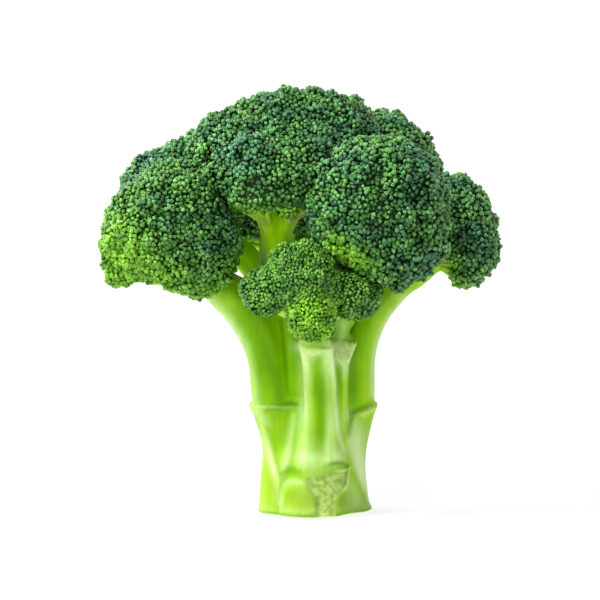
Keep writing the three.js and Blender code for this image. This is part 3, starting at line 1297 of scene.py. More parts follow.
@dataclass(frozen=True)
class Limb:
    """A branch or branchlet: a ribbed tube along a smooth path of rows of x, y, z and radius."""

    knots: Sequence[Sequence[float]]
    ribs: int = 5
    rib_depth: float = 0.055
    turned: float = 0.0
    softness: float = 4.5
    steps: int = 20
    margin: float = 1.5

    def reach(self) -> tuple[Points, Points]:
        """Finds the space that the limb shapes.

        Returns:
            Its lowest and highest corners.
        """
        rows = np.array(self.knots, dtype=float)
        wide = rows[:, 3].max() + self.softness + self.margin
        return rows[:, :3].min(axis=0) - wide, rows[:, :3].max(axis=0) + wide

    def distance(self, points: Points) -> Points:
        """Measures how far points lie outside the limb.

        It is the distance from the nearest place on the path, less the radius r (1 + d cos(n a)) there, for n
        ribs of depth d and the angle a round the path.

        Args:
            points: One a row.

        Returns:
            A distance for each point.
        """
        centres, radii, across, over = limb_path(self.knots, self.steps)
        reach = np.full(len(points), np.inf)
        radius, turn = np.zeros(len(points)), np.zeros(len(points))
        for i in range(self.steps):
            share, aside = beside(points, centres[i], centres[i + 1])
            length = np.sqrt(np.einsum("ij,ij->i", aside, aside))
            nearer = length < reach
            reach = np.where(nearer, length, reach)
            radius = np.where(nearer, radii[i] + share * (radii[i + 1] - radii[i]), radius)
            turn = np.where(nearer, np.arctan2(aside @ over[i], aside @ across[i]), turn)
        return reach - radius * (1.0 + self.rib_depth * np.cos(self.ribs * (turn + self.turned)))


@dataclass(frozen=True)
class LeafBase:
    """Where a leaf grew: a tapering swelling with raised borders, under a thin ledge, the leaf scar.

    The leaf base lies at an angle round the stem, in degrees from +X. Its scar is a slightly wavy line, a
    width to each side of its middle, and its tail runs down from there.
    """

    at: float
    scar: float
    out: float
    width: float
    tail: float
    lip: float = 3.2
    curl: float = 1.0
    swelling: float = 0.5
    border: float = 0.6
    slant: float = 0.0
    border_width: float = 1.3
    narrowing: tuple[float, float] = (0.8, 0.85)
    ripple: tuple[float, float] = (0.45, 0.55)
    upper_lip: float = 0.55
    scar_width: float = 0.6
    soft_end: float = 0.5
    ledge_end: float = 0.55
    scar_end: float = 3.0
    swelling_start: float = 2.5
    stem_axis: float = 4.0

    def frame_of(self, points: Points) -> tuple[Points, Points, Points]:
        """Measures points against the leaf base.

        Args:
            points: One a row.

        Returns:
            How far points lie outward, across the leaf base, and below its scar.
        """
        bearing = math.radians(self.at)
        outward = points[:, 0] * math.cos(bearing) + points[:, 1] * math.sin(bearing)
        across = points[:, 1] * math.cos(bearing) - points[:, 0] * math.sin(bearing)
        line = self.scar + self.slant * across + self.curl * (across / self.width) ** 2
        height, rate = self.ripple
        line += height * np.sin(rate * across + self.at)
        return outward, across, line - points[:, 2]

    def relief(self, points: Points) -> Points:
        """Returns how far the leaf base lifts the surface.

        The ledge dies away over a few millimetres below the scar and at once above it. Below it the swelling
        is an arch across the leaf base, whose borders run together at its tail.

        Args:
            points: One a row.

        Returns:
            A height for each point.
        """
        outward, across, below = self.frame_of(points)
        share = np.clip(below / self.tail, 0.0, 1.0)
        narrowed, power = self.narrowing
        edge = self.width * (1.0 - narrowed * share**power)
        arch = np.clip(1.0 - (across / edge) ** 2, 0.0, 1.0)
        ledge = np.where(below > 0.0, np.exp(-below / self.lip), bell(below, self.upper_lip))
        from_end = self.width - np.abs(across)
        ledge *= self.out * smooth_step(from_end, -self.soft_end, self.ledge_end * self.width)
        fade = smooth_step(below, -self.soft_end, self.swelling_start) * (1.0 - share**2)
        rim = self.border * bell(edge - np.abs(across), self.border_width)
        return (outward > self.stem_axis) * (ledge + fade * (self.swelling * arch + rim))

    def scar_share(self, points: Points) -> Points:
        """Returns how much of the corky scar each point shows, on the edge of the ledge.

        Args:
            points: One a row.

        Returns:
            An amount for each point.
        """
        outward, across, below = self.frame_of(points)
        inside = smooth_step(self.width - np.abs(across), -self.soft_end, self.scar_end)
        return (outward > self.stem_axis) * inside * bell(below, self.scar_width)


class FleshBlock:
    """Samples, on a grid of points, of how far each lies outside the stalk."""

    # How far outside the samples of an empty block are.
    OUTSIDE = 12.0

    # How many samples points are kept from the end of the block, so that there is a sample past each.
    END_MARGIN = 1.001

    def __init__(self, low: Sequence[float], high: Sequence[float], pitch: float) -> None:
        """Sets up an empty block.

        Args:
            low: The block's lowest corner.
            high: Its highest corner.
            pitch: The distance between samples.
        """
        self.low, self.pitch = np.array(low, dtype=float), pitch
        self.shape = tuple(np.ceil((np.array(high) - self.low) / pitch).astype(int) + 1)
        self.values = np.full(self.shape, self.OUTSIDE)

    def change(self, low: Points, high: Points, changed: Callable[[Points, Points], Points]) -> None:
        """Changes the samples between two corners.

        Args:
            low: The lowest corner.
            high: The highest corner.
            changed: A function from the sample points and their values to their new values.
        """
        first = np.clip(np.floor((low - self.low) / self.pitch).astype(int), 0, self.shape)
        last = np.clip(np.ceil((high - self.low) / self.pitch).astype(int) + 1, 0, self.shape)
        part = tuple(slice(a, b) for a, b in zip(first, last))
        axes = [self.low[i] + self.pitch * np.arange(first[i], last[i]) for i in range(3)]
        points = np.stack(np.meshgrid(*axes, indexing="ij"), -1).reshape(-1, 3)
        values = self.values[part]
        self.values[part] = changed(points, values.ravel()).reshape(values.shape)

    def join(self, limb: Limb) -> None:
        """Joins a limb softly to what is in the block.

        Args:
            limb: The limb.
        """

        def joined_to(points: Points, values: Points) -> Points:
            """Joins the limb to the values at points."""
            return soft_union(values, limb.distance(points), limb.softness)

        self.change(*limb.reach(), joined_to)

    def blurred(self, reach: int) -> Points:
        """Averages the samples over a box, one axis after the other.

        Args:
            reach: How many samples the box has to each side.

        Returns:
            The averages.
        """
        values = self.values
        for axis in range(3):
            widths = [(reach + 1, reach) if i == axis else (0, 0) for i in range(3)]
            total = np.cumsum(np.pad(values, widths, mode="edge"), axis=axis)
            ahead = np.take(total, np.arange(2 * reach + 1, total.shape[axis]), axis=axis)
            behind = np.take(total, np.arange(total.shape[axis] - 2 * reach - 1), axis=axis)
            values = (ahead - behind) / (2 * reach + 1)
        return values

    def raised(self, reach: int, points: Points) -> Points:
        """Returns how far points stand out from the block blurred over a reach of samples."""
        return self.at(self.blurred(reach) - self.values, points)

    def at(self, values: Points, points: Points) -> Points:
        """Reads samples at points between them, in proportion to how near a point is to each.

        Args:
            values: The samples.
            points: One a row.

        Returns:
            A value for each point.
        """
        place = np.clip((points - self.low) / self.pitch, 0.0, np.array(self.shape) - self.END_MARGIN)
        cell = place.astype(int)
        share = place - cell
        total = np.zeros(len(points))
        for corner in np.ndindex(2, 2, 2):
            weight = np.prod(np.where(corner, share, 1.0 - share), axis=1)
            total += weight * values[tuple((cell + corner).T)]
        return total

    def surface(self) -> tuple[Points, Points]:
        """Nets the surface where the samples are 0.

        Each cell with samples of both signs gets one vertex, at the mean of the points where its edges cross
        the surface. Each grid edge that crosses gives a face that joins the four cells round it.

        Returns:
            The vertices, and four-cornered faces of their numbers, facing out.
        """
        inside = self.values < 0.0
        cells = np.array(self.shape) - 1
        corners = np.array(list(np.ndindex(2, 2, 2)))
        parts = [tuple(slice(i, i + n) for i, n in zip(corner, cells)) for corner in corners]
        count = sum(inside[part].astype(np.int8) for part in parts)
        active = np.argwhere((count > 0) & (count < 8))
        number = np.full(cells, -1)
        number[tuple(active.T)] = np.arange(len(active))
        corner = active[:, None] + corners
        value = self.values[corner[..., 0], corner[..., 1], corner[..., 2]]
        total, crossings = np.zeros((len(active), 3)), np.zeros(len(active))
        for a, b in ((a, b) for a in range(8) for b in range(a + 1, 8)):
            if np.abs(corners[a] - corners[b]).sum() != 1:
                continue
            crosses = (value[:, a] < 0.0) != (value[:, b] < 0.0)
            span = np.where(crosses, value[:, a] - value[:, b], 1.0)
            share = np.where(crosses, value[:, a] / span, 0.0)
            total += crosses[:, None] * (corner[:, a] + share[:, None] * (corners[b] - corners[a]))
            crossings += crosses
        vertices = self.low + self.pitch * total / crossings[:, None]
        faces = []
        for axis in range(3):
            u, v = (axis + 1) % 3, (axis + 2) % 3
            here = np.take(inside, np.arange(cells[axis]), axis=axis)
            there = np.take(inside, np.arange(1, cells[axis] + 1), axis=axis)
            edge = np.argwhere(here != there)
            within = (edge > 0) & (edge < cells)
            edge = edge[within[:, u] & within[:, v]]
            outward = here[tuple(edge.T)]
            steps = np.zeros((4, 3), dtype=int)
            steps[[0, 3], u] = -1
            steps[[0, 1], v] = -1
            round_edge = edge[:, None] + steps
            quad = number[round_edge[..., 0], round_edge[..., 1], round_edge[..., 2]]
            faces.append(np.where(outward[:, None], quad, quad[:, ::-1]))
        return vertices, np.concatenate(faces)


@dataclass(frozen=True)
class FrontLine:
    """A soft line on the front of the stalk: rows of x, z, width and amount that change smoothly along it."""

    rows: Sequence[Sequence[float]]
    steps: int = 16
    front: tuple[float, float] = (-2.0, 3.0)

    def amount(self, points: Points) -> Points:
        """Measures how much of the line points have: a bell across it, as seen from the front.

        Args:
            points: One a row.

        Returns:
            An amount for each point.
        """
        path = smooth_path(np.array(self.rows, dtype=float), self.steps + 1)
        most = np.zeros(len(points))
        for start, end in zip(path[:-1], path[1:]):
            share, aside = beside(points[:, [0, 2]], start[:2], end[:2])
            width, amount = (start[i] + share * (end[i] - start[i]) for i in (2, 3))
            most = np.maximum(most, amount * bell(np.linalg.norm(aside, axis=1), width))
        return most * smooth_step(-points[:, 1], *self.front)


def front_lines(*lines: Sequence[Sequence[float]]) -> tuple[FrontLine, ...]:
    """Returns a line on the front for each set of rows."""
    return tuple(FrontLine(rows) for rows in lines)


def strongest(lines: Sequence[FrontLine], points: Points) -> Points:
    """Returns the most that any of the lines gives at points."""
    return np.max([line.amount(points) for line in lines], axis=0)


@dataclass(frozen=True)
class LeafStub(Limb):
    """The stub of a leaf stalk that was cut off aslant: a limb with a flat pale end.

    The torn edge at its top has a middle, a height there, a slope, and a ripple's height and rate.
    """

    end: Sequence[float] = (11.0, -20.7, 61.0)
    facing: Sequence[float] = (-0.1, -1.0, 0.22)
    top: Sequence[float] = (11.0, 69.2, 0.1, 0.5, 1.7)
    face_depth: float = 0.6
    face_radius: float = 9.0

    def past_cut(self, points: Points) -> Points:
        """Measures how far points lie past the slanting cut, or past the torn edge at its top.

        Args:
            points: One a row.

        Returns:
            A distance for each point.
        """
        middle, height, slope, ripple, rate = self.top
        torn = points[:, 2] - height - slope * (points[:, 0] - middle) - ripple * np.sin(rate * points[:, 0])
        return np.maximum((points - np.array(self.end)) @ unit(np.array(self.facing, dtype=float)), torn)

    def distance(self, points: Points) -> Points:
        """Measures how far points lie outside the stub."""
        return np.maximum(Limb.distance(self, points), self.past_cut(points))

    def on_face(self, points: Points) -> Points:
        """Returns which points are on the cut end."""
        near = np.linalg.norm(points - np.array(self.end), axis=1) < self.face_radius
        return near & (np.abs(self.past_cut(points)) < self.face_depth)


@dataclass(frozen=True)
class PulledScar:
    """The pale scar low on the front, where a leaf was pulled off: a pitted funnel with a rim at the right.

    On its left a rounded boss stands out of the stem: its middle, its height, its half width, how tall it is
    above that height, and how far it stands out. Under the funnel's top is a shelf: its half width, the depth
    that it dies away over, how far it stands out, and the height that it dies away over above the top.
    """

    middle: float = 4.2
    top: float = 18.0
    slope: float = 0.16
    ripple: tuple[float, float] = (0.5, 0.8)
    lean: float = 0.05
    lean_height: float = 8.0
    throat: float = 4.3
    mouth: float = 8.6
    throat_height: tuple[float, float] = (6.0, 15.0)
    front: float = 8.0
    elsewhere: float = -10.0
    depth: float = 0.5
    wall: float = 1.2
    rim: float = 1.3
    rim_across: tuple[float, float] = (0.35, 0.95)
    rim_height: tuple[float, float] = (8.0, 13.0)
    rim_shape: tuple[float, float] = (0.1, 0.75)
    boss: Sequence[float] = (-6.5, 3.0, 7.6, 11.4, 1.9)
    shelf: Sequence[float] = (12.0, 6.0, 0.4, 0.9)
    shelf_end: float = 6.0
    faces_front: tuple[float, float] = (4.0, 9.0)

    def edge_distance(self, points: Points) -> Points:
        """Measures how far points lie inside the funnel's outline, seen from the front.

        Points that aren't on the front are put well outside it.

        Args:
            points: One a row.

        Returns:
            A distance for each point.
        """
        across = points[:, 0] - self.middle - self.lean * (points[:, 2] - self.lean_height)
        opening = smooth_step(points[:, 2], *self.throat_height)
        half = self.throat + (self.mouth - self.throat) * opening
        height, rate = self.ripple
        top = self.top + self.slope * across + height * np.sin(rate * across)
        inside = np.minimum(half - np.abs(across), top - points[:, 2])
        return np.where(points[:, 1] < -self.front, inside, self.elsewhere)

    def relief(self, points: Points) -> Points:
        """Returns how far the scar lifts the surface.

        The scar is sunk within its outline, with a rim that is highest at the right, on a shelf that juts out
        under the top. The boss is a rounded shield with its own outline.

        Args:
            points: One a row.

        Returns:
            A height for each point.
        """
        x, y, z = points.T
        edge = self.edge_distance(points)
        outside, width = self.rim_shape
        rim = smooth_step((x - self.middle) / self.mouth, *self.rim_across) * smooth_step(z, *self.rim_height)
        rim *= bell(edge + outside, width)
        left, level, half, tall, out = self.boss
        shield = 1.0 - ((x - left) / half) ** 2 - (np.maximum(z - level, 0.0) / tall) ** 2
        boss = out * np.sqrt(np.clip(shield, 0.0, 1.0))
        half, decay, out, above = self.shelf
        under = self.top + self.slope * (x - self.middle) - z
        shelf = out * smooth_step(half - np.abs(x - self.middle), 0.0, self.shelf_end)
        shelf = shelf * np.where(under > 0.0, np.exp(-under / decay), bell(under, above))
        raised = smooth_step(-y, *self.faces_front) * (self.rim * rim + np.maximum(boss, shelf))
        return raised - self.depth * smooth_step(edge, 0.0, self.wall)


@dataclass
class Stalk:
    """The cut stem, its branches and what the leaves left on it: one field of distances, netted.

    Its welts are lines that stand out. Its pale lines are painted highlights on ridges and rims, partly the
    wax's whitish coat, and its darker lines are painted shade in creases, under ledges and on stems in
    shadow, with the column's own darker green down its middle.
    """

    florets: Sequence[Floret]

    # The stem's shape.
    foot_radius: float = 20.1
    foot_flare: float = 4.1
    foot_lean: tuple[float, float] = (-1.7, 2.3)
    flare_height: float = 5.0
    taper: float = 6.0
    taper_from: float = 11.5
    height: float = 46.0
    facet: float = 0.022
    facets: int = 5
    facet_turn: float = 0.9

    # The foot's cut, and how far it rises at the right, the left and the front.
    foot_edge: float = 1.2
    foot_lift: float = 1.2
    right_lift: tuple[float, float] = (6.0, 23.0)
    left_lift: tuple[float, float] = (12.0, 22.0)
    left_share: float = 0.5
    front_lift: float = 1.0
    front_of_foot: tuple[float, float] = (8.0, 18.0)

    # The block of samples, and the parts of it that the stem and the marks change.
    pitch: float = 0.8
    low: Sequence[float] = (-64.0, -52.0, -2.1)
    high: Sequence[float] = (64.0, 54.0, 138.0)
    stem_reach: float = 30.0
    above_stem: float = 6.0
    marks_reach: float = 40.0
    marks_top: float = 72.0

    # The branchlets' radii, in a floret that is at least as wide as the full spread.
    branchlet: Sequence[float] = (4.2, 3.2, 4.6)
    full_spread: float = 30.0

    # How much places swell out, by reaches of samples, and how their scars and cuts show.
    level: float = 0.36
    swells: Sequence[tuple[int, float]] = ((2, 0.36), (6, 0.34))
    leaf_scar: float = 0.6
    stub_scar: float = 0.55
    stub_cut: float = 0.9
    scar_edge: tuple[float, float] = (-0.3, 1.5)
    cut_edge: float = 0.3
    # The foot's lowest edge is painted darker over this height: painted shade where it meets the floor.
    foot_shade_height: float = 2.0

    # What is on the stem.
    leaf_bases: Sequence[LeafBase] = (
        LeafBase(206, 43.2, 2.1, 13, 33, lip=2.4, border=0.0),
        LeafBase(336, 42.4, 1.7, 11, 36, lip=2.0, border=0.0, slant=0.28),
        LeafBase(272, 67.4, 1.6, 7.4, 10, lip=2.0, curl=2.6, swelling=0.3, border=0.3),
        LeafBase(76, 39, 2.6, 11, 28),
        LeafBase(142, 22, 2.6, 11, 26),
        LeafBase(22, 24, 2.4, 9, 24),
    )
    stub: LeafStub = LeafStub(
        (
            (8, -13, 20, 3.2),
            (9.8, -16, 34, 2.7),
            (10.4, -17, 48, 2.2),
            (11, -18, 58, 1.9),
            (11.2, -19, 63, 2.5),
            (11.6, -20, 71, 5.4),
        ),
        ribs=2,
        rib_depth=0.12,
        turned=0.3,
        softness=2.5,
        steps=24,
    )
    pulled: PulledScar = PulledScar()
    welts: Sequence[FrontLine] = front_lines(
        ((-22.5, 41, 2.6, 0.2), (-19.8, 31, 2.6, 1.0), (-17.2, 22, 2.4, 1.2), (-14.6, 14, 1.9, 0.8),
         (-14, 4, 1.5, 0.1)),
        ((-8, 42, 2.0, 0.1), (-9, 34, 2.2, 0.7), (-10.8, 25, 2.1, 0.9), (-13.4, 15, 1.5, 0.4)),
        ((13, 40, 1.8, 0.3), (13.4, 30, 2.0, 0.8), (15, 22, 1.9, 1.0), (18.4, 14, 1.7, 1.0),
         (21.2, 6, 1.5, 0.4)),
        ((11.1, 59, 1.2, 0.4), (10.8, 47, 1.3, 0.6), (11.2, 35, 1.4, 0.5), (13, 27, 1.4, 0.2)),
        ((-5.6, 68, 1.5, 1.1), (-4.4, 60, 1.6, 0.5), (-4.6, 43, 1.7, 0.4), (-5.2, 28, 1.8, 0.2)),
        ((5.6, 69, 1.4, 1.3), (7, 59, 1.3, 0.8), (7.9, 47, 1.3, 0.7), (8.8, 35, 1.4, 0.6),
         (12, 26, 1.3, 0.2)),
    )
    # Painted highlights along ridges and rims, partly the wax's pale coat.
    highlight_and_bloom_lines: Sequence[FrontLine] = front_lines(
        ((-4.6, 68, 3.2, 0.85), (-3.8, 59, 2.1, 0.65), (-4.2, 46, 2.0, 0.6), (-4.6, 34, 2.6, 0.65),
         (-3.6, 26, 4.0, 0.7)),
        ((6, 68, 1.5, 0.9), (7.2, 55, 1.1, 0.85), (8.1, 43, 1.1, 0.85), (9, 34, 1.2, 0.8),
         (11.4, 26.6, 1.2, 0.5)),
        ((4.2, 67, 3.0, 0.75), (5, 56, 1.9, 0.5), (5.8, 46, 1.9, 0.5), (6.2, 35, 2.4, 0.6),
         (5, 26, 4.2, 0.7)),
        ((-6, 67.4, 2.8, 1.0), (0, 66, 2.8, 0.9), (6.4, 67.8, 2.8, 1.0)),
        ((-4, 24, 4.0, 0.75), (2, 23.5, 4.0, 0.8), (8, 24, 3.4, 0.75)),
        ((-21.6, 38, 1.2, 0.4), (-19.6, 30, 1.5, 0.5), (-17.2, 22, 1.6, 0.55), (-15.2, 15, 1.6, 0.45),
         (-14, 4, 1.6, 0.1)),
        ((-8.2, 40, 1.4, 0.4), (-9.2, 33, 1.9, 0.6), (-10.8, 25, 1.9, 0.65), (-12.8, 17, 1.5, 0.3)),
        ((13.6, 41, 2.2, 0.5), (15.4, 34, 3.6, 0.7), (16.4, 26, 3.2, 0.8), (18.4, 17, 2.4, 0.85),
         (21.4, 7, 1.9, 0.5)),
        ((-25.4, 43, 2.0, 0.8), (-22.4, 40.6, 2.4, 0.75), (-19.6, 37, 2.0, 0.4)),
        ((-43, 86, 3.4, 0.8), (-34, 77, 2.8, 0.7), (-26.8, 65, 2.2, 0.6), (-24.2, 52, 1.9, 0.55),
         (-23.6, 45.5, 2.2, 0.6)),
        ((-25, 111.4, 1.5, 0.9), (-20.6, 103.8, 1.7, 0.9), (-16.8, 96.6, 1.3, 0.6)),
        ((-31.4, 100, 2.0, 0.9), (-29, 96.4, 2.0, 0.9), (-26.6, 93, 1.8, 0.7)),
        ((12.8, 14, 3.0, 0.4), (15.4, 8, 3.6, 0.5), (16.4, 1, 3.6, 0.35)),
        ((36, 85, 2.2, 0.7), (27.4, 74, 1.9, 0.65), (23.6, 63, 1.6, 0.55), (23, 48, 1.5, 0.5)),
        ((10.6, 82, 3.2, 0.4), (10, 74, 3.0, 0.5), (10.4, 68, 3.0, 0.8)),
        ((8, 69, 1.2, 0.7), (10.4, 65, 3.2, 1.0), (11.6, 60, 2.6, 0.9), (11.2, 55, 1.2, 0.4)),
        ((-13.7, 5, 1.0, 0.3), (-13.3, 11, 1.1, 0.5), (-10.4, 14.5, 1.1, 0.5), (-6, 14.6, 1.0, 0.4),
         (-3, 13.6, 0.9, 0.2)),
    )
    # Painted shade in creases, under ledges and on stems in shadow, and the column's own darker green down
    # its middle.
    deep_green_and_shade_lines: Sequence[FrontLine] = front_lines(
        ((0.8, 64, 1.8, 0.5), (1.6, 52, 2.3, 0.8), (2.2, 43, 2.3, 0.9), (2.4, 33, 1.6, 0.85),
         (2.5, 26, 1.0, 0.2)),
        ((-27, 80, 5.0, 0.8), (-20.5, 68, 4.2, 0.9), (-16, 56, 4.0, 0.9), (-14, 47, 3.2, 0.7)),
        ((-13.4, 78, 0.9, 0.9), (-12.3, 66, 0.9, 0.9), (-11.4, 54, 0.9, 0.8), (-10.4, 47, 0.9, 0.5)),
        ((14.4, 80, 2.4, 0.6), (14.6, 66, 2.4, 0.75), (15.2, 54, 2.4, 0.75), (15.6, 46, 2.0, 0.6)),
        ((-13, 17.4, 1.3, 0.8), (-9.8, 18.8, 1.7, 0.95), (-6.4, 18.4, 1.4, 0.7)),
        ((3.6, 20.6, 0.7, 0.4), (7.2, 22, 0.8, 0.9), (10.8, 21.6, 0.8, 0.9), (13, 19.4, 0.7, 0.6)),
        ((-18.6, 42.6, 1.2, 0.7), (-14, 43.4, 1.7, 1.0), (-10.5, 44.6, 1.6, 1.0), (-7.6, 44.4, 1.0, 0.6)),
        ((13.2, 33, 1.0, 0.6), (13.8, 37.6, 1.2, 0.9), (15.8, 41.6, 1.5, 1.0), (19, 43.2, 1.3, 0.9),
         (22.4, 44.4, 0.9, 0.6)),
        ((-26, 110, 4.0, 1.0), (-24, 104.6, 4.6, 1.0), (-21, 99, 3.6, 1.0)),
    )

    def stem_distance(self, points: Points) -> Points:
        """Measures how far points lie outside the stem: a faceted column with a flared foot that tapers.

        Args:
            points: One a row.

        Returns:
            A distance for each point.
        """
        x, y, z = points.T
        flare = np.exp(-np.maximum(z, 0.0) / self.flare_height)
        x = x - self.foot_lean[0] - self.foot_lean[1] * flare
        radius = self.foot_radius + self.foot_flare * flare
        radius -= self.taper * smooth_step(z, self.taper_from, self.height)
        radius *= 1.0 + self.facet * np.cos(self.facets * np.arctan2(y, x) + self.facet_turn)
        return np.maximum(np.hypot(x, y) - radius, z - self.height)

    def above_foot(self, points: Points) -> Points:
        """Measures how high points are above the foot's cut, which rises at the front and to both sides.

        Args:
            points: One a row.

        Returns:
            A height for each point.
        """
        x, y, z = points.T
        sides = smooth_step(x, *self.right_lift) + self.left_share * smooth_step(-x, *self.left_lift)
        return z - self.foot_lift * sides - self.front_lift * smooth_step(-y, *self.front_of_foot)

    def branchlets(self, floret: Floret) -> list[Limb]:
        """Leads branchlets from just under a floret's root into each of its lobes.

        Args:
            floret: The floret that they carry.

        Returns:
            The branchlets.
        """
        radii = np.array(self.branchlet) * min(1.0, floret.spread / self.full_spread)
        rows = (np.column_stack((floret.branchlet(lobe), radii)) for lobe in floret.middles)
        return [Limb(knots, ribs=4, rib_depth=0.05, softness=2.5, steps=8) for knots in rows]

    def marked(self, points: Points, values: Points) -> Points:
        """Raises the surface by what the leaves left on the stalk, and cuts it off at the foot.

        Args:
            points: The sample points.
            values: How far each lies outside the stalk so far.

        Returns:
            How far each lies outside the stalk with its marks and its cut.
        """
        relief = sum(mark.relief(points) for mark in (*self.leaf_bases, self.pulled))
        relief = relief + strongest(self.welts, points)
        return -soft_union(relief - values, self.above_foot(points), self.foot_edge)

    def column(self, reach: float, top: float) -> tuple[Points, Points]:
        """Returns the corners of a box round the stem, from the floor of the block up."""
        return np.array([-reach, -reach, self.low[2]]), np.array([reach, reach, top])

    def flesh(self) -> FleshBlock:
        """Fills a block with the stem, the limbs joined softly to it, and the marks on them.

        Returns:
            The filled block.
        """
        block = FleshBlock(self.low, self.high, self.pitch)
        low, high = self.column(self.stem_reach, self.height + self.above_stem)
        block.change(low, high, lambda points, _: self.stem_distance(points))
        for floret in self.florets:
            block.join(floret.branch)
        for floret in self.florets:
            for limb in self.branchlets(floret):
                block.join(limb)
        block.join(self.stub)
        low, high = self.column(self.marks_reach, self.marks_top)
        block.change(low, high, self.marked)
        return block

    def looks(self, block: FleshBlock, vertices: Points) -> dict[str, Points]:
        """Returns how far each vertex swells out, and how much of a scar, a cut, painted highlight with wax,
        or darker green with painted shade it shows.

        Args:
            block: The stalk's samples.
            vertices: The vertices of its surface.

        Returns:
            A number for each vertex, by name.
        """
        swell = np.full(len(vertices), self.level)
        for reach, weight in self.swells:
            swell += weight * block.raised(reach, vertices)
        scar = sum(leaf_base.scar_share(vertices) for leaf_base in self.leaf_bases)
        on_stub = self.stub.on_face(vertices)
        scar = self.leaf_scar * scar + self.stub_scar * on_stub
        scar += smooth_step(self.pulled.edge_distance(vertices), *self.scar_edge)
        height = self.above_foot(vertices)
        # Painted shade at the foot's lowest edge, where it meets the floor.
        foot_shade = bell(height, self.foot_shade_height)
        return {
            "swell": np.clip(swell, 0.0, 1.0),
            "scar": np.clip(scar, 0.0, 1.0),
            "cut": np.maximum(smooth_step(-height, -self.cut_edge, 0.0), self.stub_cut * on_stub),
            "bloom_and_highlight": strongest(self.highlight_and_bloom_lines, vertices),
            "deep_green_and_shade": np.maximum(strongest(self.deep_green_and_shade_lines, vertices), foot_shade),
        }

    def build(self) -> list[Solid]:
        """Nets the stalk and puts its looks on it.

        Returns:
            The new object, in a list.
        """
        block = self.flesh()
        vertices, faces = block.surface()
        piece = make_piece("stalk_flesh", vertices, faces, StemSkin().build(), self.looks(block, vertices))
        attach(piece, "root")
        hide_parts("stalk")
        return [piece]


# ---------------------------------------------------------------- studio


@dataclass(frozen=True)
class SoftLight:
    """A big soft light that is far away, so it lights the head and the floor evenly."""

    name: str
    azimuth: float
    elevation: float
    strength: float
    spread: float

    def build(self) -> None:
        """Adds the light, which shines down from its azimuth, counted from the front to the right."""
        light = bpy.data.lights.new(self.name, "SUN")
        light.energy = self.strength
        light.angle = math.radians(self.spread)
        around, up = math.radians(self.azimuth), math.radians(self.elevation)
        ray = Vector((-math.sin(around) * math.cos(up), math.cos(around) * math.cos(up), -math.sin(up)))
        lamp = bpy.data.objects.new(self.name, light)
        lamp.rotation_euler = ray.to_track_quat("-Z", "Y").to_euler()
        bpy.context.scene.collection.objects.link(lamp)


@dataclass(frozen=True)
class Studio:
    """A white light table in a white room, soft lights and the camera.

    The room is brighter for the camera and in reflections than it is as a light. The camera's places are in
    metres, and its lens and sensor in millimetres.
    """

    floor_radius: float = 9000.0
    floor_rings: int = 24
    floor_sides: int = 64
    surround: float = 0.42
    backdrop: float = 1.05
    room_colour: str = "#FFFFFF"
    eye: Sequence[float] = (-0.006, -0.7992, 0.1199)
    target: Sequence[float] = (-0.006, 0.0, 0.085)
    lens: float = 120.0
    sensor: float = 36.0
    nearest: float = 0.01
    lights: Sequence[SoftLight] = (
        SoftLight("key_light", -58.0, 50.0, 3.7, 16.0),
        SoftLight("left_rim_light", -120.0, 30.0, 2.4, 40.0),
        SoftLight("right_rim_light", 120.0, 26.0, 0.6, 40.0),
        SoftLight("front_fill_light", -30.0, 2.0, 1.4, 50.0),
    )

    def build(self) -> list[Solid]:
        """Sets the room and the lights, aims the camera and lays the floor.

        Returns:
            The floor, in a list.
        """
        bpy.context.scene.view_settings.view_transform = "Standard"
        self.room()
        for light in self.lights:
            light.build()
        self.camera()
        return [self.floor()]

    def room(self) -> None:
        """Surrounds the scene with the white room."""
        world = bpy.data.worlds.new("white_room")
        world.use_nodes = True
        tree = world.node_tree
        tree.nodes.clear()
        path = add_node(tree, "LightPath", {})
        rays = {0: path["Is Camera Ray"], 1: path["Is Glossy Ray"]}
        seen = add_node(tree, "Math", {"operation": "MAXIMUM"} | rays)[0]
        strengths = {VALUE: seen, STARTS_AT: self.surround, RISES_TO: self.backdrop}
        strength = add_node(tree, "MapRange", strengths)[0]
        glow = add_node(tree, "Background", {"Color": self.room_colour, "Strength": strength})
        add_node(tree, "OutputWorld", {0: glow[0]})
        bpy.context.scene.world = world

    def camera(self) -> None:
        """Adds the camera and aims it."""
        camera = bpy.data.cameras.new("camera")
        camera.lens = self.lens
        camera.sensor_width = self.sensor
        camera.clip_start = self.nearest
        holder = bpy.data.objects.new("camera", camera)
        holder.location = self.eye
        holder.rotation_euler = (Vector(self.target) - Vector(self.eye)).to_track_quat("-Z", "Y").to_euler()
        bpy.context.scene.collection.objects.link(holder)
        bpy.context.scene.camera = holder

    def floor(self) -> Solid:
        """Lays the floor: a disc of rings whose radii grow with the square of their number.

        Returns:
            The new object.
        """
        rings, sides = self.floor_rings, self.floor_sides
        radii = self.floor_radius * (np.arange(1, rings + 1) / rings) ** 2
        vertices = np.vstack(((radii[:, None, None] * circle(sides)).reshape(-1, 3), np.zeros(3)))
        k = np.arange(sides)
        after = (k + 1) % sides
        start = np.arange(rings - 1)[:, None] * sides
        a, b = start + k, start + after
        bands = np.stack((a, a + sides, b + sides, b), -1).reshape(-1, 4)
        middle = np.column_stack((np.full(sides, rings * sides), k, after))
        triangles = np.vstack((bands[:, :3], bands[:, [0, 2, 3]], middle))
        piece = make_piece("floor", vertices, triangles, OpalTable().build(), {})
        return piece


# ---------------------------------------------------------------- table


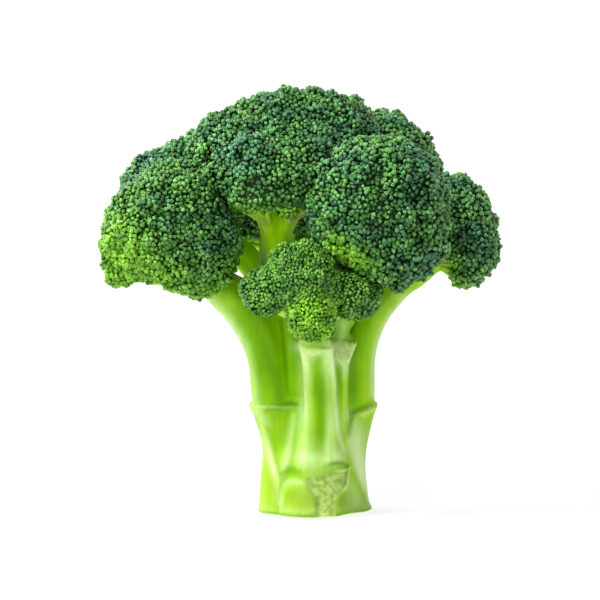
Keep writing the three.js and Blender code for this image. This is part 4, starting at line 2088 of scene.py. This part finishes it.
def grown_florets() -> list[Floret]:
    """Lists the florets, with their lobes, roots and branches as rows of x, y, z and radius.

    Returns:
        The eight florets.
    """
    return [
        Floret(
            "floret_top",
            lobes=(
                (-29.7, -8, 138.7, 23.3),
                (-10, -6, 145.2, 24),
                (6.3, -4, 145.3, 22.3),
                (-22, -28, 131, 20),
                (-2, -27, 133, 18.5),
                (-16, 14, 141, 22),
            ),
            root=(-16, -9, 104),
            rise=19,
            fresh=(-10, -36, 112, 16),
            branch=Limb(((-3, -2, 36, 12), (-9, -4, 60, 8.5), (-13, -6, 84, 7.2), (-15.5, -8.5, 104, 6.8))),
        ),
        Floret(
            "floret_right_back",
            lobes=((25.8, 12, 141.3, 20.8), (37.6, 26, 134.8, 16.5), (31, 31, 125, 18.5), (20, 34, 134, 19)),
            root=(24, 17, 113),
            rise=11,
            branch=Limb(((2, 4, 40, 9), (8, 8, 68, 7), (15, 13, 92, 6.5), (24, 17, 112, 6.5))),
        ),
        Floret(
            "floret_left_front",
            lobes=(
                (-51.2, -27, 116, 24),
                (-61.9, -20, 114.4, 20),
                (-44.4, -30, 101.6, 14.5),
                (-73.6, -15, 106.8, 9.1),
                (-76.8, -15, 98.2, 7.2),
            ),
            root=(-33.2, -14.2, 90.8),
            rise=4.2,
            ripening=15,
            fresh=(-80, -32, 87, 50),
            youth=0.05,
            branch=Limb(
                (
                    (-7.5, -3, 8, 12),
                    (-11.1, -4, 27, 8.6),
                    (-16.3, -6, 45, 8.7),
                    (-19, -8, 64, 8.3),
                    (-26.4, -12, 79, 8),
                    (-37.8, -17, 90.5, 6.6),
                ),
                rib_depth=0.02,
            ),
        ),
        Floret(
            "floret_left_back",
            lobes=((-59.1, 10, 126.1, 20.6), (-47, 30, 124, 20.5), (-43.2, 8, 133.6, 18.4)),
            root=(-37, 11, 107),
            rise=7,
            branch=Limb(
                (
                    (-6, 4, 40, 8),
                    (-13, 6, 66, 7),
                    (-19.5, 8, 88.5, 5.8),
                    (-27.4, 10, 100.8, 5.6),
                    (-37, 11, 108, 5.4),
                )
            ),
        ),
        Floret(
            "floret_right_front",
            lobes=(
                (24, -40, 124, 26),
                (30, -38, 111, 20),
                (13, -37, 122, 18),
                (13, -20, 105, 12),
                (22, -18, 99, 10.5),
            ),
            root=(11.4, -17, 83),
            rise=15,
            fresh=(11, -50, 102, 16),
            branch=Limb(
                (
                    (7, -9, 32, 7),
                    (9.2, -10.5, 52, 4.8),
                    (9.4, -13, 66, 3.8),
                    (9, -14.5, 73, 4.2),
                    (11, -17, 83, 4.4),
                ),
                softness=2.2,
            ),
        ),
        Floret(
            "floret_right",
            lobes=((52.4, 3, 116.4, 19.6), (59.3, -4, 102.7, 12.3), (60.8, 6, 105.4, 12.5)),
            root=(42, 0, 97),
            rise=9.5,
            branch=Limb(
                (
                    (8, -3, 8, 11),
                    (11.3, -4, 27, 9),
                    (15.8, -6, 45, 7.7),
                    (17.3, -7, 64, 6.7),
                    (22.6, -6, 79, 6.3),
                    (33, -3, 90.6, 5.5),
                    (42, 0, 97, 5),
                ),
                rib_depth=0.02,
            ),
        ),
        Floret(
            "floret_back",
            lobes=((-14, 44, 128, 23), (8, 50, 119, 19), (-28, 50, 114, 15)),
            root=(-10, 36, 98),
            rise=10,
            branch=Limb(((0, 9, 32, 9), (-2, 15, 56, 7.8), (-5, 25, 80, 7), (-10, 36, 97, 6.5))),
        ),
        Floret(
            "floret_front",
            lobes=(
                (-5, -42, 96.2, 13.6),
                (-19.7, -39, 90.1, 9.6),
                (15.4, -37, 89.4, 11),
                (-1.4, -47.6, 80.2, 9.9),
            ),
            root=(-1, -33, 75),
            rise=3,
            size=BudSize.FINE,
            lobe_blend=1.6,
            youth=0.36,
            fresh=(-1, -52, 75, 21),
            branch=Limb(
                (
                    (2, -9, 8, 11),
                    (2.4, -13.5, 26, 8.8),
                    (2.4, -15, 44, 7),
                    (1.4, -19, 58, 6.6),
                    (0, -26, 68, 6.1),
                    (-1, -31, 74, 5.4),
                ),
                ribs=4,
                rib_depth=0.1,
                turned=math.pi / 4.0,
            ),
        ),
    ]


def main() -> None:
    """Builds the studio, the stalk and the crown."""
    logging.basicConfig(level=logging.INFO, format="%(name)s: %(message)s")
    florets = grown_florets()
    for assembly in (Studio(), Stalk(florets), Crown(florets)):
        for piece in assembly.build():
            log.info("%s: %d faces", piece.name, len(piece.data.polygons))


if __name__ == "__main__":
    main()
